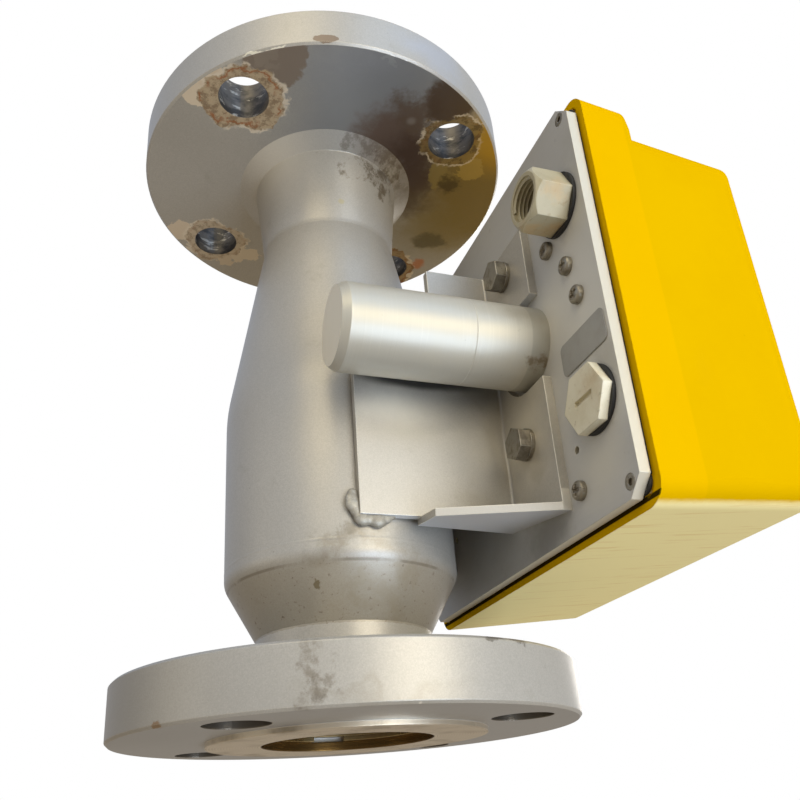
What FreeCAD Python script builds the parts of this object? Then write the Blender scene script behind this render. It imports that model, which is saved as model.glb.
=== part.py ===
import FreeCAD, Part
import math
import os

# Metal tube flow meter with a float, a magnetic follower and an indicator box.
# The origin is the centre of the lower sealing face, +Z is the flow axis,
# and the dial looks along -Y. All sizes are in millimetres.

V = FreeCAD.Vector
UP = V(0, 0, 1)
FRONT = V(0, -1, 0)

# Flanges
face_to_face = 250.0
flange_r = 76.2
flange_thickness = 19.05
raised_face_r = 46.05
raised_face_height = 1.6
rim_chamfer = 0.8
bolt_circle_r = 60.325
bolt_hole_r = 9.525
bolt_count = 4
bolt_start_angle = 45.0
hub_wall = 3.6
hub_r = 30.2
hub_weld_r = 37.0
hub_weld_height = 4.2
lower_hub_length = 14.5
upper_hub_length = 37.2
upper_hub_end_r = 26.9

# Guide seats inside the flanges
guide_seat_r = 28.4
circlip_depth = 3.0
circlip_thickness = 1.5
circlip_groove_depth = 1.6
circlip_clearance = 0.1
circlip_width = 4.0
circlip_gap_angle = 24.0
guide_height = 10.0
guide_ring_wall = 2.4
guide_fin_thickness = 2.0
guide_fin_count = 4
guide_fin_angle = 20.0
guide_hub_wall = 3.2
guide_clearance = 0.1

# Measuring body
tube_r = 41.0
tube_wall = 3.0
reducer_end_z = 57.0
reducer_corner_z = 52.7
reducer_fillet = 7.0
shoulder_z = 118.0
shoulder_fillet = 70.0
neck_fillet = 26.0
seam_land = 1.5

# Measuring cone, guide rod and stops
cone_wall = 1.5
cone_ring_height = 3.0
cone_inlet_r = 24.5
cone_outlet_r = 30.0
cone_length = 88.0
seat_clearance = 0.05
rod_r = 3.0
rod_end_gap = 1.0
stop_r = 7.0
stop_height = 6.0
stop_gap = 0.3

# Float
float_travel = 60.0
running_clearance = 0.1
float_sleeve_wall = 1.5
float_nose_r = 8.0
float_nose_height = 8.0
float_head_r = 23.4
float_head_height = 3.0
float_can_r = 13.0
float_can_wall = 1.8
float_taper_height = 9.0
float_floor = 3.0
float_magnet_height = 16.0
float_plug_height = 4.0
float_tip_r = 7.0
float_tip_height = 8.0

# Follower axis, beside the tube and parallel to Y
sheet = 3.0
follower_gap = 5.3
follower_housing_r = 14.25
indicator_z = 118.3
follower_x = -(tube_r + sheet + follower_gap + follower_housing_r)

# Back plate of the indicator, as large as the window and a border
window_width = 112.0
window_height = 92.0
window_border_x = 18.8
window_border_z = 23.3
plate_gap = 10.5
plate_thickness = 3.5
plate_width = window_width + 2.0 * window_border_x
plate_height = window_height + 2.0 * window_border_z
plate_chamfer = 5.6
plate_offset_x = 30.55
plate_x = follower_x + plate_offset_x
plate_y = -(tube_r + plate_gap)
plate_inner_y = plate_y - plate_thickness
cover_screw_inset = 4.6
cover_screw_r = 1.6
cover_screw_head_r = 2.4
cover_screw_length = 14.0
cover_screw_socket_flats = 2.0
cover_screw_socket_depth = 1.2
pilot_hole_r = 1.2
pilot_hole_points = [(-48.4, -45.4), (44.7, -42.4)]
screw_clearance = 0.2

# Brackets, folded from sheet and welded to the tube
bend_inner_r = 1.0
web_bottom_z = 63.8
web_top_z = 161.3
web_edge_y = 5.3
web_shoulder_z = 118.0
web_neck_z = 148.0
web_neck_y = -25.0
near_flange_width = 30.0
far_flange_margin = 10.0
flange_notch_r = 15.9
gusset_droop = 8.8
gusset_start_y = -14.8
gusset_tip = 12.5
gusset_lap = 6.0
gusset_thickness = 2.5
bracket_bolt_pitch = 66.6
near_bolt_inset = 14.5
near_bolt_x = -(tube_r + sheet + near_bolt_inset)
far_bolt_inset = 13.8

# Bracket bolts
bolt_r = 3.0
bolt_hole_clearance = 0.3
bolt_head_flats = 10.0
bolt_head_height = 4.0
spring_washer_r = 5.4
spring_washer_thickness = 1.4
spring_washer_gap_angle = 8.0
nut_height = 5.0
bolt_tail = 1.5
upright_hex = 30.0

# Follower housing
housing_rear_y = 17.6
housing_joint_y = -26.0
housing_chamfer_length = 2.6
housing_chamfer_depth = 1.5
housing_wall = 2.8
housing_spigot_length = 6.0
housing_spigot_wall = 1.6
housing_neck_r = 10.0
housing_neck_length = 10.0
housing_nut_height = 4.0
housing_nut_flats = 27.0
bearing_r = 5.0
bearing_width = 3.5
bearing_wall = 1.0
cap_end_thickness = 6.5
housing_floor = 3.0

# Follower, pointer and damping
shaft_r = 1.5
follower_sweep = 70.0
shaft_clearance = 0.05
shaft_end_gap = 0.5
magnet_length = 15.0
magnet_height = 6.5
magnet_depth = 12.0
holder_wall = 1.3
holder_floor = 2.0
weight_y = -68.0
weight_thickness = 4.0
weight_r = 13.0
weight_arm_width = 6.0
disc_r = 18.0
disc_thickness = 1.0
disc_y = -80.0
yoke_width = 12.0
yoke_thickness = 3.0
yoke_gap = 1.2
yoke_overlap = 6.0
pointer_length = 66.0
pointer_tail = 16.0
pointer_width = 3.2
pointer_tip_width = 0.8
pointer_thickness = 0.8
pointer_hub_r = 4.5
pointer_hub_length = 4.0
pointer_corner_r = 1.0

# Indicator cover
seal_thickness = 1.0
seal_width = 2.8
seal_inset = 0.7
rim_overhang_x = 2.2
rim_overhang_z = 2.9
cover_depth = 60.5
cover_draft = 4.5
cover_top_draft = 1.5
cover_corner_r = 7.0
cover_wall = 3.0
cover_front_fillet = 4.0
collar_step = 10.9
collar_depth = 16.0
collar_slope = 2.2
pillar_r = 3.6
pillar_end_gap = 1.0
rim_ledge_depth = 4.0
rim_ledge_lap = 0.6

# Window
window_corner_r = 8.0
window_lap = 5.0
window_seal_thickness = 0.8
glass_thickness = 4.0
frame_thickness = 2.0
frame_lap = 5.4
frame_boss_r = 2.4
frame_screw_r = 1.25
frame_screw_depth = 3.5
frame_screw_head_r = 2.3
frame_screw_head_height = 1.4
frame_boss_gap = 0.3

# Dial
dial_width = 124.0
dial_height = 104.0
dial_corner_r = 3.0
dial_thickness = 1.0
dial_gap = 3.2
dial_hole_r = 6.0
post_r = 3.0
post_inset_x = 22.0
post_inset_z = 8.0
post_spigot_r = 2.0
post_spigot_length = 2.5
dial_screw_r = 1.2
dial_screw_head_r = 2.4
dial_screw_head_height = 1.5
dial_screw_depth = 6.0

# Cable entry and blanking plug
entry_offset_x = -61.8
entry_x = plate_x + entry_offset_x
entry_offset_z = 35.6
entry_flats = 17.8
entry_turn = 5.0
entry_length = 12.0
entry_mouth_r = 8.5
entry_chamfer = 1.6
entry_thread_r = 7.2
entry_thread_length = 11.0
entry_way_r = 6.0
entry_spigot_r = 7.8
entry_spigot_length = 12.0
entry_seal_r = 10.5
entry_seal_thickness = 1.1
entry_nut_flats = 18.0
entry_nut_height = 4.0
plug_head_flats = 18.4
plug_head_height = 3.0
plug_slot_width = 1.7
plug_slot_length = 9.0
plug_slot_depth = 1.2
thread_clearance = 0.05

# Pan head screws through the back plate and what they hold
rear_screw_r = 1.5
rear_head_r = 3.0
rear_head_height = 2.3
rear_cross_width = 0.8
rear_cross_length = 3.4
rear_cross_depth = 1.2
terminal_points = [(-60.3, 12.8), (-63.2, 0.0)]
earth_point = (-51.3, 25.6)
clip_inset = 11.3
clip_point = (-47.2, clip_inset - plate_height / 2.0)
terminal_width = 17.0
terminal_height = 26.0
terminal_depth = 14.0
terminal_way_count = 3
terminal_way_r = 1.6
terminal_way_depth = 6.0
terminal_screw_r = 1.9
terminal_screw_length = 3.0
terminal_screw_slot = 0.5
screw_grip = 6.0
earth_width = 5.6
earth_thickness = 3.0
clip_width = 10.0
clip_height = 8.0
clip_thickness = 6.0
block_corner_r = 1.0

# Label plate on the back
label_width = 24.2
label_height = 10.8
label_corner_r = 2.0
label_thickness = 0.4
label_point = (-61.2, -16.1)


def fuse_all(shapes):
    return shapes[0].multiFuse(shapes[1:]).removeSplitter()


def rounded_edges(points, place):
    # Straight runs joined by tangent arcs. A point is (a, b) or (a, b, radius).
    count = len(points)
    entries = []
    for i in range(count):
        here = V(points[i][0], points[i][1], 0)
        radius = points[i][2] if len(points[i]) > 2 else 0.0
        if radius <= 0.0:
            entries.append((here, None, here))
            continue
        before = V(points[i - 1][0], points[i - 1][1], 0)
        after = V(points[(i + 1) % count][0], points[(i + 1) % count][1], 0)
        to_before = (before - here).normalize()
        to_after = (after - here).normalize()
        half = to_before.getAngle(to_after) / 2.0
        reach = radius / math.tan(half)
        bisector = (to_before + to_after).normalize()
        middle = here + bisector * (radius / math.sin(half) - radius)
        entries.append((here + to_before * reach, middle, here + to_after * reach))
    edges = []
    for i in range(count):
        start, middle, end = entries[i]
        if middle is not None:
            edges.append(Part.Arc(place(start), place(middle), place(end)).toShape())
        following = entries[(i + 1) % count][0]
        if (following - end).Length > 1e-6:
            edges.append(Part.LineSegment(place(end), place(following)).toShape())
    return edges


def wire_xz(points, y):
    return Part.Wire(rounded_edges(points, lambda p: V(p.x, y, p.y)))


def plate_xz(points, y, thickness):
    # A flat piece whose rear face is at y and that reaches towards the front.
    return Part.Face(wire_xz(points, y)).extrude(FRONT * thickness)


def turned(points):
    # A solid of revolution about the flow axis from points (radius, z).
    wire = Part.Wire(rounded_edges(points, lambda p: V(p.x, 0, p.y)))
    return Part.Face(wire).revolve(V(0, 0, 0), UP, 360)


def rod_y(radius, y, length, x, z):
    # A round bar that starts at y and runs towards the front.
    return Part.makeCylinder(radius, length, V(x, y, z), FRONT)


def ring_y(outer, inner, y, length, x, z):
    return rod_y(outer, y, length, x, z).cut(rod_y(inner, y, length, x, z))


def hex_y(flats, y, length, x, z, turn=0.0):
    # A hexagonal bar towards the front. Its corners start at turn, in degrees from +X.
    corner = flats / math.sqrt(3.0)
    points = []
    for i in range(6):
        angle = math.radians(360.0 * i / 6.0 + turn)
        points.append((x + corner * math.cos(angle), z + corner * math.sin(angle)))
    return plate_xz(points, y, length)


def rectangle(x, z, width, height, radius=0.0):
    left = x - width / 2.0
    right = x + width / 2.0
    low = z - height / 2.0
    high = z + height / 2.0
    return [(left, low, radius), (right, low, radius), (right, high, radius), (left, high, radius)]


def box(x0, x1, y0, y1, z0, z1):
    return Part.makeBox(x1 - x0, y1 - y0, z1 - z0, V(x0, y0, z0))


def mirrored_top(shape):
    # The same piece at the outlet, turned over about the middle of the meter.
    return shape.mirror(V(0, 0, face_to_face / 2.0), UP)


# Heights that several pieces share
lower_hub_end_z = flange_thickness + lower_hub_length
upper_hub_end_z = face_to_face - flange_thickness - upper_hub_length
groove_height = circlip_thickness + circlip_clearance
guide_z = circlip_depth + groove_height
guide_seat_depth = guide_z + guide_height
hub_bore_r = hub_r - hub_wall
upper_bore_r = upper_hub_end_r - hub_wall
cone_z = reducer_end_z
cone_top_z = cone_z + cone_length
lower_stop_z = cone_z - stop_height
float_z = lower_stop_z + stop_height + stop_gap
float_bore_r = rod_r + running_clearance
float_sleeve_r = float_bore_r + float_sleeve_wall
float_head_z = float_z + float_nose_height
float_can_z = float_head_z + float_head_height + float_taper_height
float_magnet_z = float_can_z + float_floor
float_plug_z = float_magnet_z + float_magnet_height
float_can_top_z = float_plug_z + float_plug_height
float_top_z = float_can_top_z + float_tip_height
upper_stop_z = float_top_z + float_travel + stop_gap


def flange(hub_points, bore_points):
    # A turned flange with its sealing face at z = 0, its hub upwards and its bolt holes.
    disc = [
        (raised_face_r, 0),
        (raised_face_r, raised_face_height),
        (flange_r - rim_chamfer, raised_face_height),
        (flange_r, raised_face_height + rim_chamfer),
        (flange_r, flange_thickness - rim_chamfer),
        (flange_r - rim_chamfer, flange_thickness),
    ]
    body = turned(disc + hub_points + bore_points)
    groove_r = guide_seat_r + circlip_groove_depth
    groove = Part.makeCylinder(groove_r, groove_height, V(0, 0, circlip_depth), UP)
    holes = [groove]
    for i in range(bolt_count):
        angle = math.radians(bolt_start_angle + 360.0 * i / bolt_count)
        centre = V(bolt_circle_r * math.cos(angle), bolt_circle_r * math.sin(angle), 0)
        holes.append(Part.makeCylinder(bolt_hole_r, flange_thickness, centre, UP))
    return body.cut(Part.makeCompound(holes))


def seat_points(bore_r, end_z):
    # The bore from the end of the hub down to the wider seat of the float guide.
    return [
        (bore_r, end_z),
        (bore_r, guide_seat_depth),
        (guide_seat_r, guide_seat_depth),
        (guide_seat_r, 0),
    ]


def lower_flange():
    hub = [
        (hub_weld_r, flange_thickness),
        (hub_r, flange_thickness + hub_weld_height),
        (hub_r, lower_hub_end_z),
    ]
    return flange(hub, seat_points(hub_bore_r, lower_hub_end_z))


def upper_flange():
    end_z = flange_thickness + upper_hub_length
    middle_r = (hub_r + upper_hub_end_r) / 2.0
    middle_z = flange_thickness + upper_hub_length / 2.0
    hub = [
        (hub_weld_r, flange_thickness),
        (hub_r, flange_thickness + hub_weld_height),
        (middle_r, middle_z, neck_fillet),
        (upper_hub_end_r, end_z - seam_land),
        (upper_hub_end_r, end_z),
    ]
    return mirrored_top(flange(hub, seat_points(upper_bore_r, end_z)))


def lower_reducer():
    # A formed cone between the lower hub and the wide tube.
    return turned([
        (hub_r, lower_hub_end_z),
        (tube_r, reducer_corner_z, reducer_fillet),
        (tube_r, reducer_end_z),
        (tube_r - tube_wall, reducer_end_z),
        (tube_r - tube_wall, reducer_corner_z, reducer_fillet - tube_wall),
        (hub_bore_r, lower_hub_end_z),
    ])


def measuring_body():
    # The wide tube and its long taper, spun as one piece.
    return turned([
        (tube_r, reducer_end_z),
        (tube_r, shoulder_z, shoulder_fillet),
        (upper_hub_end_r, upper_hub_end_z),
        (upper_bore_r, upper_hub_end_z),
        (tube_r - tube_wall, shoulder_z, shoulder_fillet - tube_wall),
        (tube_r - tube_wall, reducer_end_z),
    ])


def taper_bore_r(z):
    # The radius inside the straight part of the taper.
    start = tube_r - tube_wall
    slope = (start - upper_bore_r) / (upper_hub_end_z - shoulder_z)
    return start - slope * (z - shoulder_z)


def measuring_cone():
    # A tapered liner on a ring in the tube. Its lip meets the long taper.
    ring_r = tube_r - tube_wall - seat_clearance
    lip_z = cone_top_z - cone_ring_height
    lip_r = taper_bore_r(cone_top_z) - seat_clearance
    return turned([
        (cone_inlet_r, cone_z),
        (ring_r, cone_z),
        (ring_r, cone_z + cone_ring_height),
        (cone_inlet_r + cone_wall, cone_z + cone_ring_height),
        (cone_outlet_r + cone_wall - seat_clearance, lip_z),
        (lip_r, lip_z),
        (lip_r, cone_top_z),
        (cone_outlet_r, cone_top_z),
    ])


def guide():
    # A ring, a hub for the rod and thin fins between them.
    outer_r = guide_seat_r - guide_clearance
    inner_r = outer_r - guide_ring_wall
    bore_r = rod_r + seat_clearance
    hub = Part.makeCylinder(bore_r + guide_hub_wall, guide_height, V(0, 0, guide_z), UP)
    ring = Part.makeCylinder(outer_r, guide_height, V(0, 0, guide_z), UP)
    ring = ring.cut(Part.makeCylinder(inner_r, guide_height, V(0, 0, guide_z), UP))
    parts = [hub, ring]
    for i in range(guide_fin_count):
        half = guide_fin_thickness / 2.0
        fin = box(bore_r, inner_r + half, -half, half, guide_z, guide_z + guide_height)
        fin.rotate(V(0, 0, 0), UP, guide_fin_angle + 360.0 * i / guide_fin_count)
        parts.append(fin)
    body = fuse_all(parts)
    return body.cut(Part.makeCylinder(bore_r, guide_height, V(0, 0, guide_z), UP))


def circlip():
    # A flat open ring that snaps into the groove below the guide.
    outer_r = guide_seat_r + circlip_groove_depth - circlip_clearance
    start = V(0, 0, circlip_depth + circlip_clearance / 2.0)
    sweep = 360.0 - circlip_gap_angle
    ring = Part.makeCylinder(outer_r, circlip_thickness, start, UP, sweep)
    hole = Part.makeCylinder(outer_r - circlip_width, circlip_thickness, start, UP)
    clip = ring.cut(hole)
    clip.rotate(V(0, 0, 0), UP, circlip_gap_angle / 2.0)
    return clip


def guide_rod():
    start = guide_z + rod_end_gap
    return Part.makeCylinder(rod_r, face_to_face - 2.0 * start, V(0, 0, start), UP)


def stop_ring(z):
    inner = rod_r + seat_clearance
    ring = Part.makeCylinder(stop_r, stop_height, V(0, 0, z), UP)
    return ring.cut(Part.makeCylinder(inner, stop_height, V(0, 0, z), UP))


def float_body():
    # The nose, the sharp measuring edge and the open can for the magnet.
    return turned([
        (float_bore_r, float_z),
        (float_nose_r, float_z),
        (float_head_r, float_head_z),
        (float_head_r, float_head_z + float_head_height),
        (float_can_r, float_can_z),
        (float_can_r, float_can_top_z),
        (float_can_r - float_can_wall, float_can_top_z),
        (float_can_r - float_can_wall, float_magnet_z),
        (float_sleeve_r, float_magnet_z),
        (float_sleeve_r, float_plug_z),
        (float_bore_r, float_plug_z),
    ])


def float_magnet():
    return turned([
        (float_sleeve_r + seat_clearance, float_magnet_z),
        (float_can_r - float_can_wall - seat_clearance, float_magnet_z),
        (float_can_r - float_can_wall - seat_clearance, float_plug_z),
        (float_sleeve_r + seat_clearance, float_plug_z),
    ])


def float_plug():
    # The plug closes the can over the magnet and ends in a blunt tip.
    plug_r = float_can_r - float_can_wall - seat_clearance
    return turned([
        (float_bore_r, float_plug_z),
        (plug_r, float_plug_z),
        (plug_r, float_can_top_z),
        (float_can_r, float_can_top_z),
        (float_tip_r, float_top_z),
        (float_bore_r, float_top_z),
    ])


# Places that the indicator's pieces share
def bracket_bolt_heights():
    return [indicator_z - bracket_bolt_pitch / 2.0, indicator_z + bracket_bolt_pitch / 2.0]


far_bolt_x = plate_x + plate_width / 2.0 - far_bolt_inset
far_flange_width = tube_r + sheet - far_bolt_x + far_flange_margin
bracket_bolt_columns = [near_bolt_x, far_bolt_x]
entry_z = indicator_z + entry_offset_z
plug_z = indicator_z - entry_offset_z
rim_y = plate_inner_y - seal_thickness
cover_front_y = rim_y - cover_depth
rim_width = plate_width + 2.0 * rim_overhang_x
rim_height = plate_height + 2.0 * rim_overhang_z
draft = math.tan(math.radians(cover_draft))
top_draft = math.tan(math.radians(cover_top_draft))
glass_y = cover_front_y + cover_wall + window_seal_thickness
glass_inner_y = glass_y + glass_thickness
pointer_front_y = glass_inner_y + dial_gap
pointer_rear_y = pointer_front_y + pointer_hub_length
dial_y = pointer_rear_y + dial_gap
dial_rear_y = dial_y + dial_thickness


def corner_points(inset):
    # The four cover screws, clockwise from the lower left corner.
    half_x = plate_width / 2.0 - inset
    half_z = plate_height / 2.0 - inset
    signs = [(-1, -1), (1, -1), (1, 1), (-1, 1)]
    return [(plate_x + sx * half_x, indicator_z + sz * half_z) for sx, sz in signs]


def plate_point(point):
    # A place on the back plate, measured from its middle.
    return (plate_x + point[0], indicator_z + point[1])


def web(outline, x):
    place = [V(x, p[0], p[1]) for p in outline]
    face = Part.Face(Part.makePolygon(place + [place[0]]))
    return face.extrude(V(sheet, 0, 0))


def web_outline(bottom_z):
    return [
        (web_edge_y, bottom_z),
        (web_edge_y, web_shoulder_z),
        (web_neck_y, web_neck_z),
        (web_neck_y, web_top_z),
        (plate_y + sheet, web_top_z),
        (plate_y + sheet, bottom_z),
    ]


def bend(x_inner, side, z0, z1):
    # The rounded corner between a web and its flange. side is the flange's direction.
    outer_r = bend_inner_r + sheet
    centre = V(x_inner + side * bend_inner_r, plate_y + outer_r, 0)
    inner_side = V(-side, -1, 0).normalize()
    edges = [
        Part.Arc(centre + V(-side * outer_r, 0, 0), centre + inner_side * outer_r,
                 centre + V(0, -outer_r, 0)).toShape(),
        Part.LineSegment(centre + V(0, -outer_r, 0), centre + V(0, -bend_inner_r, 0)).toShape(),
        Part.Arc(centre + V(0, -bend_inner_r, 0), centre + inner_side * bend_inner_r,
                 centre + V(-side * bend_inner_r, 0, 0)).toShape(),
        Part.LineSegment(centre + V(-side * bend_inner_r, 0, 0),
                         centre + V(-side * outer_r, 0, 0)).toShape(),
    ]
    corner = Part.Face(Part.Wire(edges))
    corner.translate(V(0, 0, z0))
    return corner.extrude(V(0, 0, z1 - z0))


def folded_bracket(x_inner, side, flange_width, bottom_z):
    # x_inner is the web's face inside the fold, side is +1 or -1 along X.
    bend_r = bend_inner_r + sheet
    x_web = min(x_inner, x_inner - side * sheet)
    outline = web_outline(bottom_z)
    outline[4] = (plate_y + bend_r, web_top_z)
    outline[5] = (plate_y + bend_r, bottom_z)
    web_part = web(outline, x_web)
    x_start = x_inner + side * bend_inner_r
    x_end = x_inner + side * flange_width
    flange_part = box(min(x_start, x_end), max(x_start, x_end),
                      plate_y, plate_y + sheet, bottom_z, web_top_z)
    return fuse_all([web_part, bend(x_inner, side, bottom_z, web_top_z), flange_part])


def bolt_holes(column, y, length):
    holes = []
    for z in bracket_bolt_heights():
        holes.append(rod_y(bolt_r + bolt_hole_clearance, y, length, column, z))
    return holes


def gusset():
    # A lip folded out from the web's lower edge, hanging a little towards its free edge.
    x_outer = -(tube_r + sheet)
    x_inner = x_outer + sheet
    x_free = x_outer - near_flange_width / math.cos(math.radians(gusset_droop))
    points = [
        V(x_inner, gusset_start_y, 0),
        V(x_outer - gusset_tip, gusset_start_y, 0),
        V(x_free, plate_y + sheet, 0),
        V(x_free, plate_y, 0),
        V(x_inner + gusset_lap, plate_y, 0),
    ]
    face = Part.Face(Part.makePolygon(points + [points[0]]))
    lip = face.extrude(V(0, 0, -gusset_thickness))
    lip.translate(V(0, 0, web_bottom_z))
    lip.rotate(V(x_outer, 0, web_bottom_z), V(0, 1, 0), -gusset_droop)
    return lip


def near_bracket():
    # The flange runs down to the hanging lip. A slot in it clears the follower housing.
    x_outer = -(tube_r + sheet)
    reach = near_flange_width
    fall = reach * math.tan(math.radians(gusset_droop))
    body = folded_bracket(x_outer, -1, reach, web_bottom_z)
    skirt = plate_xz([
        (x_outer, web_bottom_z), (x_outer - reach, web_bottom_z),
        (x_outer - reach, web_bottom_z - fall),
    ], plate_y + sheet, sheet)
    body = fuse_all([body, skirt, gusset()])
    start_y = plate_y + 2.0 * sheet
    length = 3.0 * sheet
    around = rod_y(flange_notch_r, start_y, length, follower_x, indicator_z)
    slot = plate_xz(rectangle(follower_x - reach, indicator_z, 2.0 * reach, 2.0 * flange_notch_r),
                    start_y, length)
    holes = bolt_holes(near_bolt_x, start_y, length)
    return body.cut(Part.makeCompound([around.fuse(slot)] + holes))


def far_bracket():
    body = folded_bracket(tube_r, -1, far_flange_width, web_bottom_z)
    return body.cut(Part.makeCompound(bolt_holes(far_bolt_x, plate_y + 2.0 * sheet, 3.0 * sheet)))


def outline_plate(inset):
    # The back plate's outline with cut corners, drawn inwards by inset.
    left = plate_x - plate_width / 2.0 + inset
    right = plate_x + plate_width / 2.0 - inset
    low = indicator_z - plate_height / 2.0 + inset
    high = indicator_z + plate_height / 2.0 - inset
    cut = plate_chamfer - inset * (2.0 - math.sqrt(2.0))
    return [
        (left + cut, low), (right - cut, low), (right, low + cut), (right, high - cut),
        (right - cut, high), (left + cut, high), (left, high - cut), (left, low + cut),
    ]


def screw_cone(x, z, grow):
    # The countersink of a cover screw at the plate's rear face.
    depth = cover_screw_head_r - cover_screw_r
    return Part.makeCone(cover_screw_head_r + grow, cover_screw_r + grow, depth,
                         V(x, plate_y, z), FRONT)


def rear_screw_points():
    points = terminal_points + [earth_point, clip_point]
    return [plate_point(point) for point in points]


def post_points():
    half_x = dial_width / 2.0 - post_inset_x
    half_z = dial_height / 2.0 - post_inset_z
    return [(plate_x + sx * half_x, window_z + sz * half_z) for sx in (-1, 1) for sz in (-1, 1)]


def back_plate():
    body = plate_xz(outline_plate(0.0), plate_y, plate_thickness)
    cuts = []
    for x, z in corner_points(cover_screw_inset):
        cuts.append(rod_y(cover_screw_r + thread_clearance, plate_y, plate_thickness, x, z))
        cuts.append(screw_cone(x, z, thread_clearance))
    for column in bracket_bolt_columns:
        cuts += bolt_holes(column, plate_y, plate_thickness)
    for z in (entry_z, plug_z):
        cuts.append(rod_y(entry_spigot_r + screw_clearance, plate_y, plate_thickness, entry_x, z))
    for x, z in rear_screw_points():
        cuts.append(rod_y(rear_screw_r + screw_clearance, plate_y, plate_thickness, x, z))
    for point in pilot_hole_points:
        x, z = plate_point(point)
        cuts.append(rod_y(pilot_hole_r, plate_y, plate_thickness, x, z))
    neck_hole_r = housing_neck_r + screw_clearance
    cuts.append(rod_y(neck_hole_r, plate_y, plate_thickness, follower_x, indicator_z))
    for x, z in post_points():
        start = plate_inner_y + post_spigot_length
        cuts.append(rod_y(post_spigot_r + seat_clearance, start, post_spigot_length, x, z))
    return body.cut(Part.makeCompound(cuts))


def cover_screws():
    screws = []
    for x, z in corner_points(cover_screw_inset):
        screw = fuse_all([screw_cone(x, z, 0.0), rod_y(cover_screw_r, plate_y, cover_screw_length, x, z)])
        socket = hex_y(cover_screw_socket_flats, plate_y, cover_screw_socket_depth, x, z)
        screws.append(screw.cut(socket))
    return Part.makeCompound(screws)


def plate_seal():
    # A flat rubber frame with a pad round each screw, between the plate and the cover.
    outer = plate_xz(outline_plate(seal_inset), plate_inner_y, seal_thickness)
    inner = plate_xz(outline_plate(seal_inset + seal_width), plate_inner_y, seal_thickness)
    pads = []
    holes = []
    for x, z in corner_points(cover_screw_inset):
        pads.append(rod_y(pillar_r, plate_inner_y, seal_thickness, x, z))
        holes.append(rod_y(cover_screw_r + screw_clearance, plate_inner_y, seal_thickness, x, z))
    return fuse_all([outer.cut(inner)] + pads).cut(Part.makeCompound(holes))


def cover_loft(y0, y1, top_drop, inset):
    # A tapering block. top_drop lowers its top at the rim, inset shrinks it all round.
    wires = []
    for y in (y0, y1):
        shrink = inset + draft * (rim_y - y)
        left = plate_x - rim_width / 2.0 + shrink
        right = plate_x + rim_width / 2.0 - shrink
        low = indicator_z - rim_height / 2.0 + shrink
        high = indicator_z + rim_height / 2.0 - top_drop - inset - top_draft * (rim_y - y)
        corner = cover_corner_r - inset
        wires.append(wire_xz([
            (left, low, corner), (right, low, corner), (right, high, corner), (left, high, corner),
        ], y))
    return Part.makeLoft(wires, True, True)


def cover_block(inset, y0, y1):
    # The main box and the raised collar along its rear top edge.
    main = cover_loft(y0, y1, collar_step, inset)
    tall = cover_loft(y0, y1, 0.0, inset)
    high_z = indicator_z + rim_height
    low_z = indicator_z
    step_y = rim_y - collar_depth + inset
    step_top_z = indicator_z + rim_height / 2.0 - top_draft * collar_depth - inset
    step_low_z = step_top_z - collar_step
    side = plate_x - rim_width
    points = [
        V(side, y0, low_z), V(side, y0, high_z), V(side, step_y, high_z),
        V(side, step_y, step_top_z), V(side, step_y - collar_slope, step_low_z),
        V(side, step_y - collar_slope, low_z),
    ]
    keep = Part.Face(Part.makePolygon(points + [points[0]])).extrude(V(2.0 * rim_width, 0, 0))
    return main.fuse(tall.common(keep)).removeSplitter()


def front_edges(shape):
    return [edge for edge in shape.Edges if abs(edge.BoundBox.YMax - cover_front_y) < 1e-4]


main_top_z = indicator_z + rim_height / 2.0 - collar_step
main_low_z = indicator_z - rim_height / 2.0
window_z = (main_top_z + main_low_z) / 2.0
glass_width = window_width + 2.0 * window_lap
glass_height = window_height + 2.0 * window_lap
frame_width = glass_width + 2.0 * frame_lap
frame_height = glass_height + 2.0 * frame_lap


def frame_screw_points():
    # The middle of each side, just outside the glass.
    out_x = glass_width / 2.0 + frame_boss_gap + frame_boss_r
    out_z = glass_height / 2.0 + frame_boss_gap + frame_boss_r
    return [
        (plate_x - out_x, window_z), (plate_x + out_x, window_z),
        (plate_x, window_z - out_z), (plate_x, window_z + out_z),
    ]


def window_opening(y, thickness):
    return plate_xz(rectangle(plate_x, window_z, window_width, window_height, window_corner_r),
                    y, thickness)


def rim_ledge():
    # The inner step of the cover's mouth that presses on the seal.
    outer = plate_xz(outline_plate(-rim_ledge_lap), rim_y, rim_ledge_depth)
    return outer.cut(plate_xz(outline_plate(seal_inset + seal_width), rim_y, rim_ledge_depth))


def cover():
    outer = cover_block(0.0, rim_y, cover_front_y)
    outer = outer.makeFillet(cover_front_fillet, front_edges(outer))
    wall_y = cover_front_y + cover_wall
    shell = outer.cut(cover_block(cover_wall, rim_y, wall_y))
    shell = shell.cut(window_opening(wall_y, cover_wall))
    bosses = [rim_ledge()]
    holes = []
    for x, z in corner_points(cover_screw_inset):
        bosses.append(rod_y(pillar_r, rim_y, collar_depth - pillar_end_gap, x, z))
        depth = cover_screw_length + screw_clearance
        holes.append(rod_y(cover_screw_r + thread_clearance, plate_y, depth, x, z))
    boss_height = window_seal_thickness + glass_thickness
    for x, z in frame_screw_points():
        bosses.append(rod_y(frame_boss_r, glass_inner_y, boss_height, x, z))
        depth = frame_screw_depth + screw_clearance
        holes.append(rod_y(frame_screw_r + thread_clearance, glass_inner_y, depth, x, z))
    return fuse_all([shell] + bosses).cut(Part.makeCompound(holes))


def window_sheet(width, height, y, thickness):
    lap = (width - window_width) / 2.0
    points = rectangle(plate_x, window_z, width, height, window_corner_r + lap)
    return plate_xz(points, y, thickness)


def window_seal():
    y = glass_y
    outer = window_sheet(glass_width, glass_height, y, window_seal_thickness)
    return outer.cut(window_opening(y, window_seal_thickness))


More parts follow.
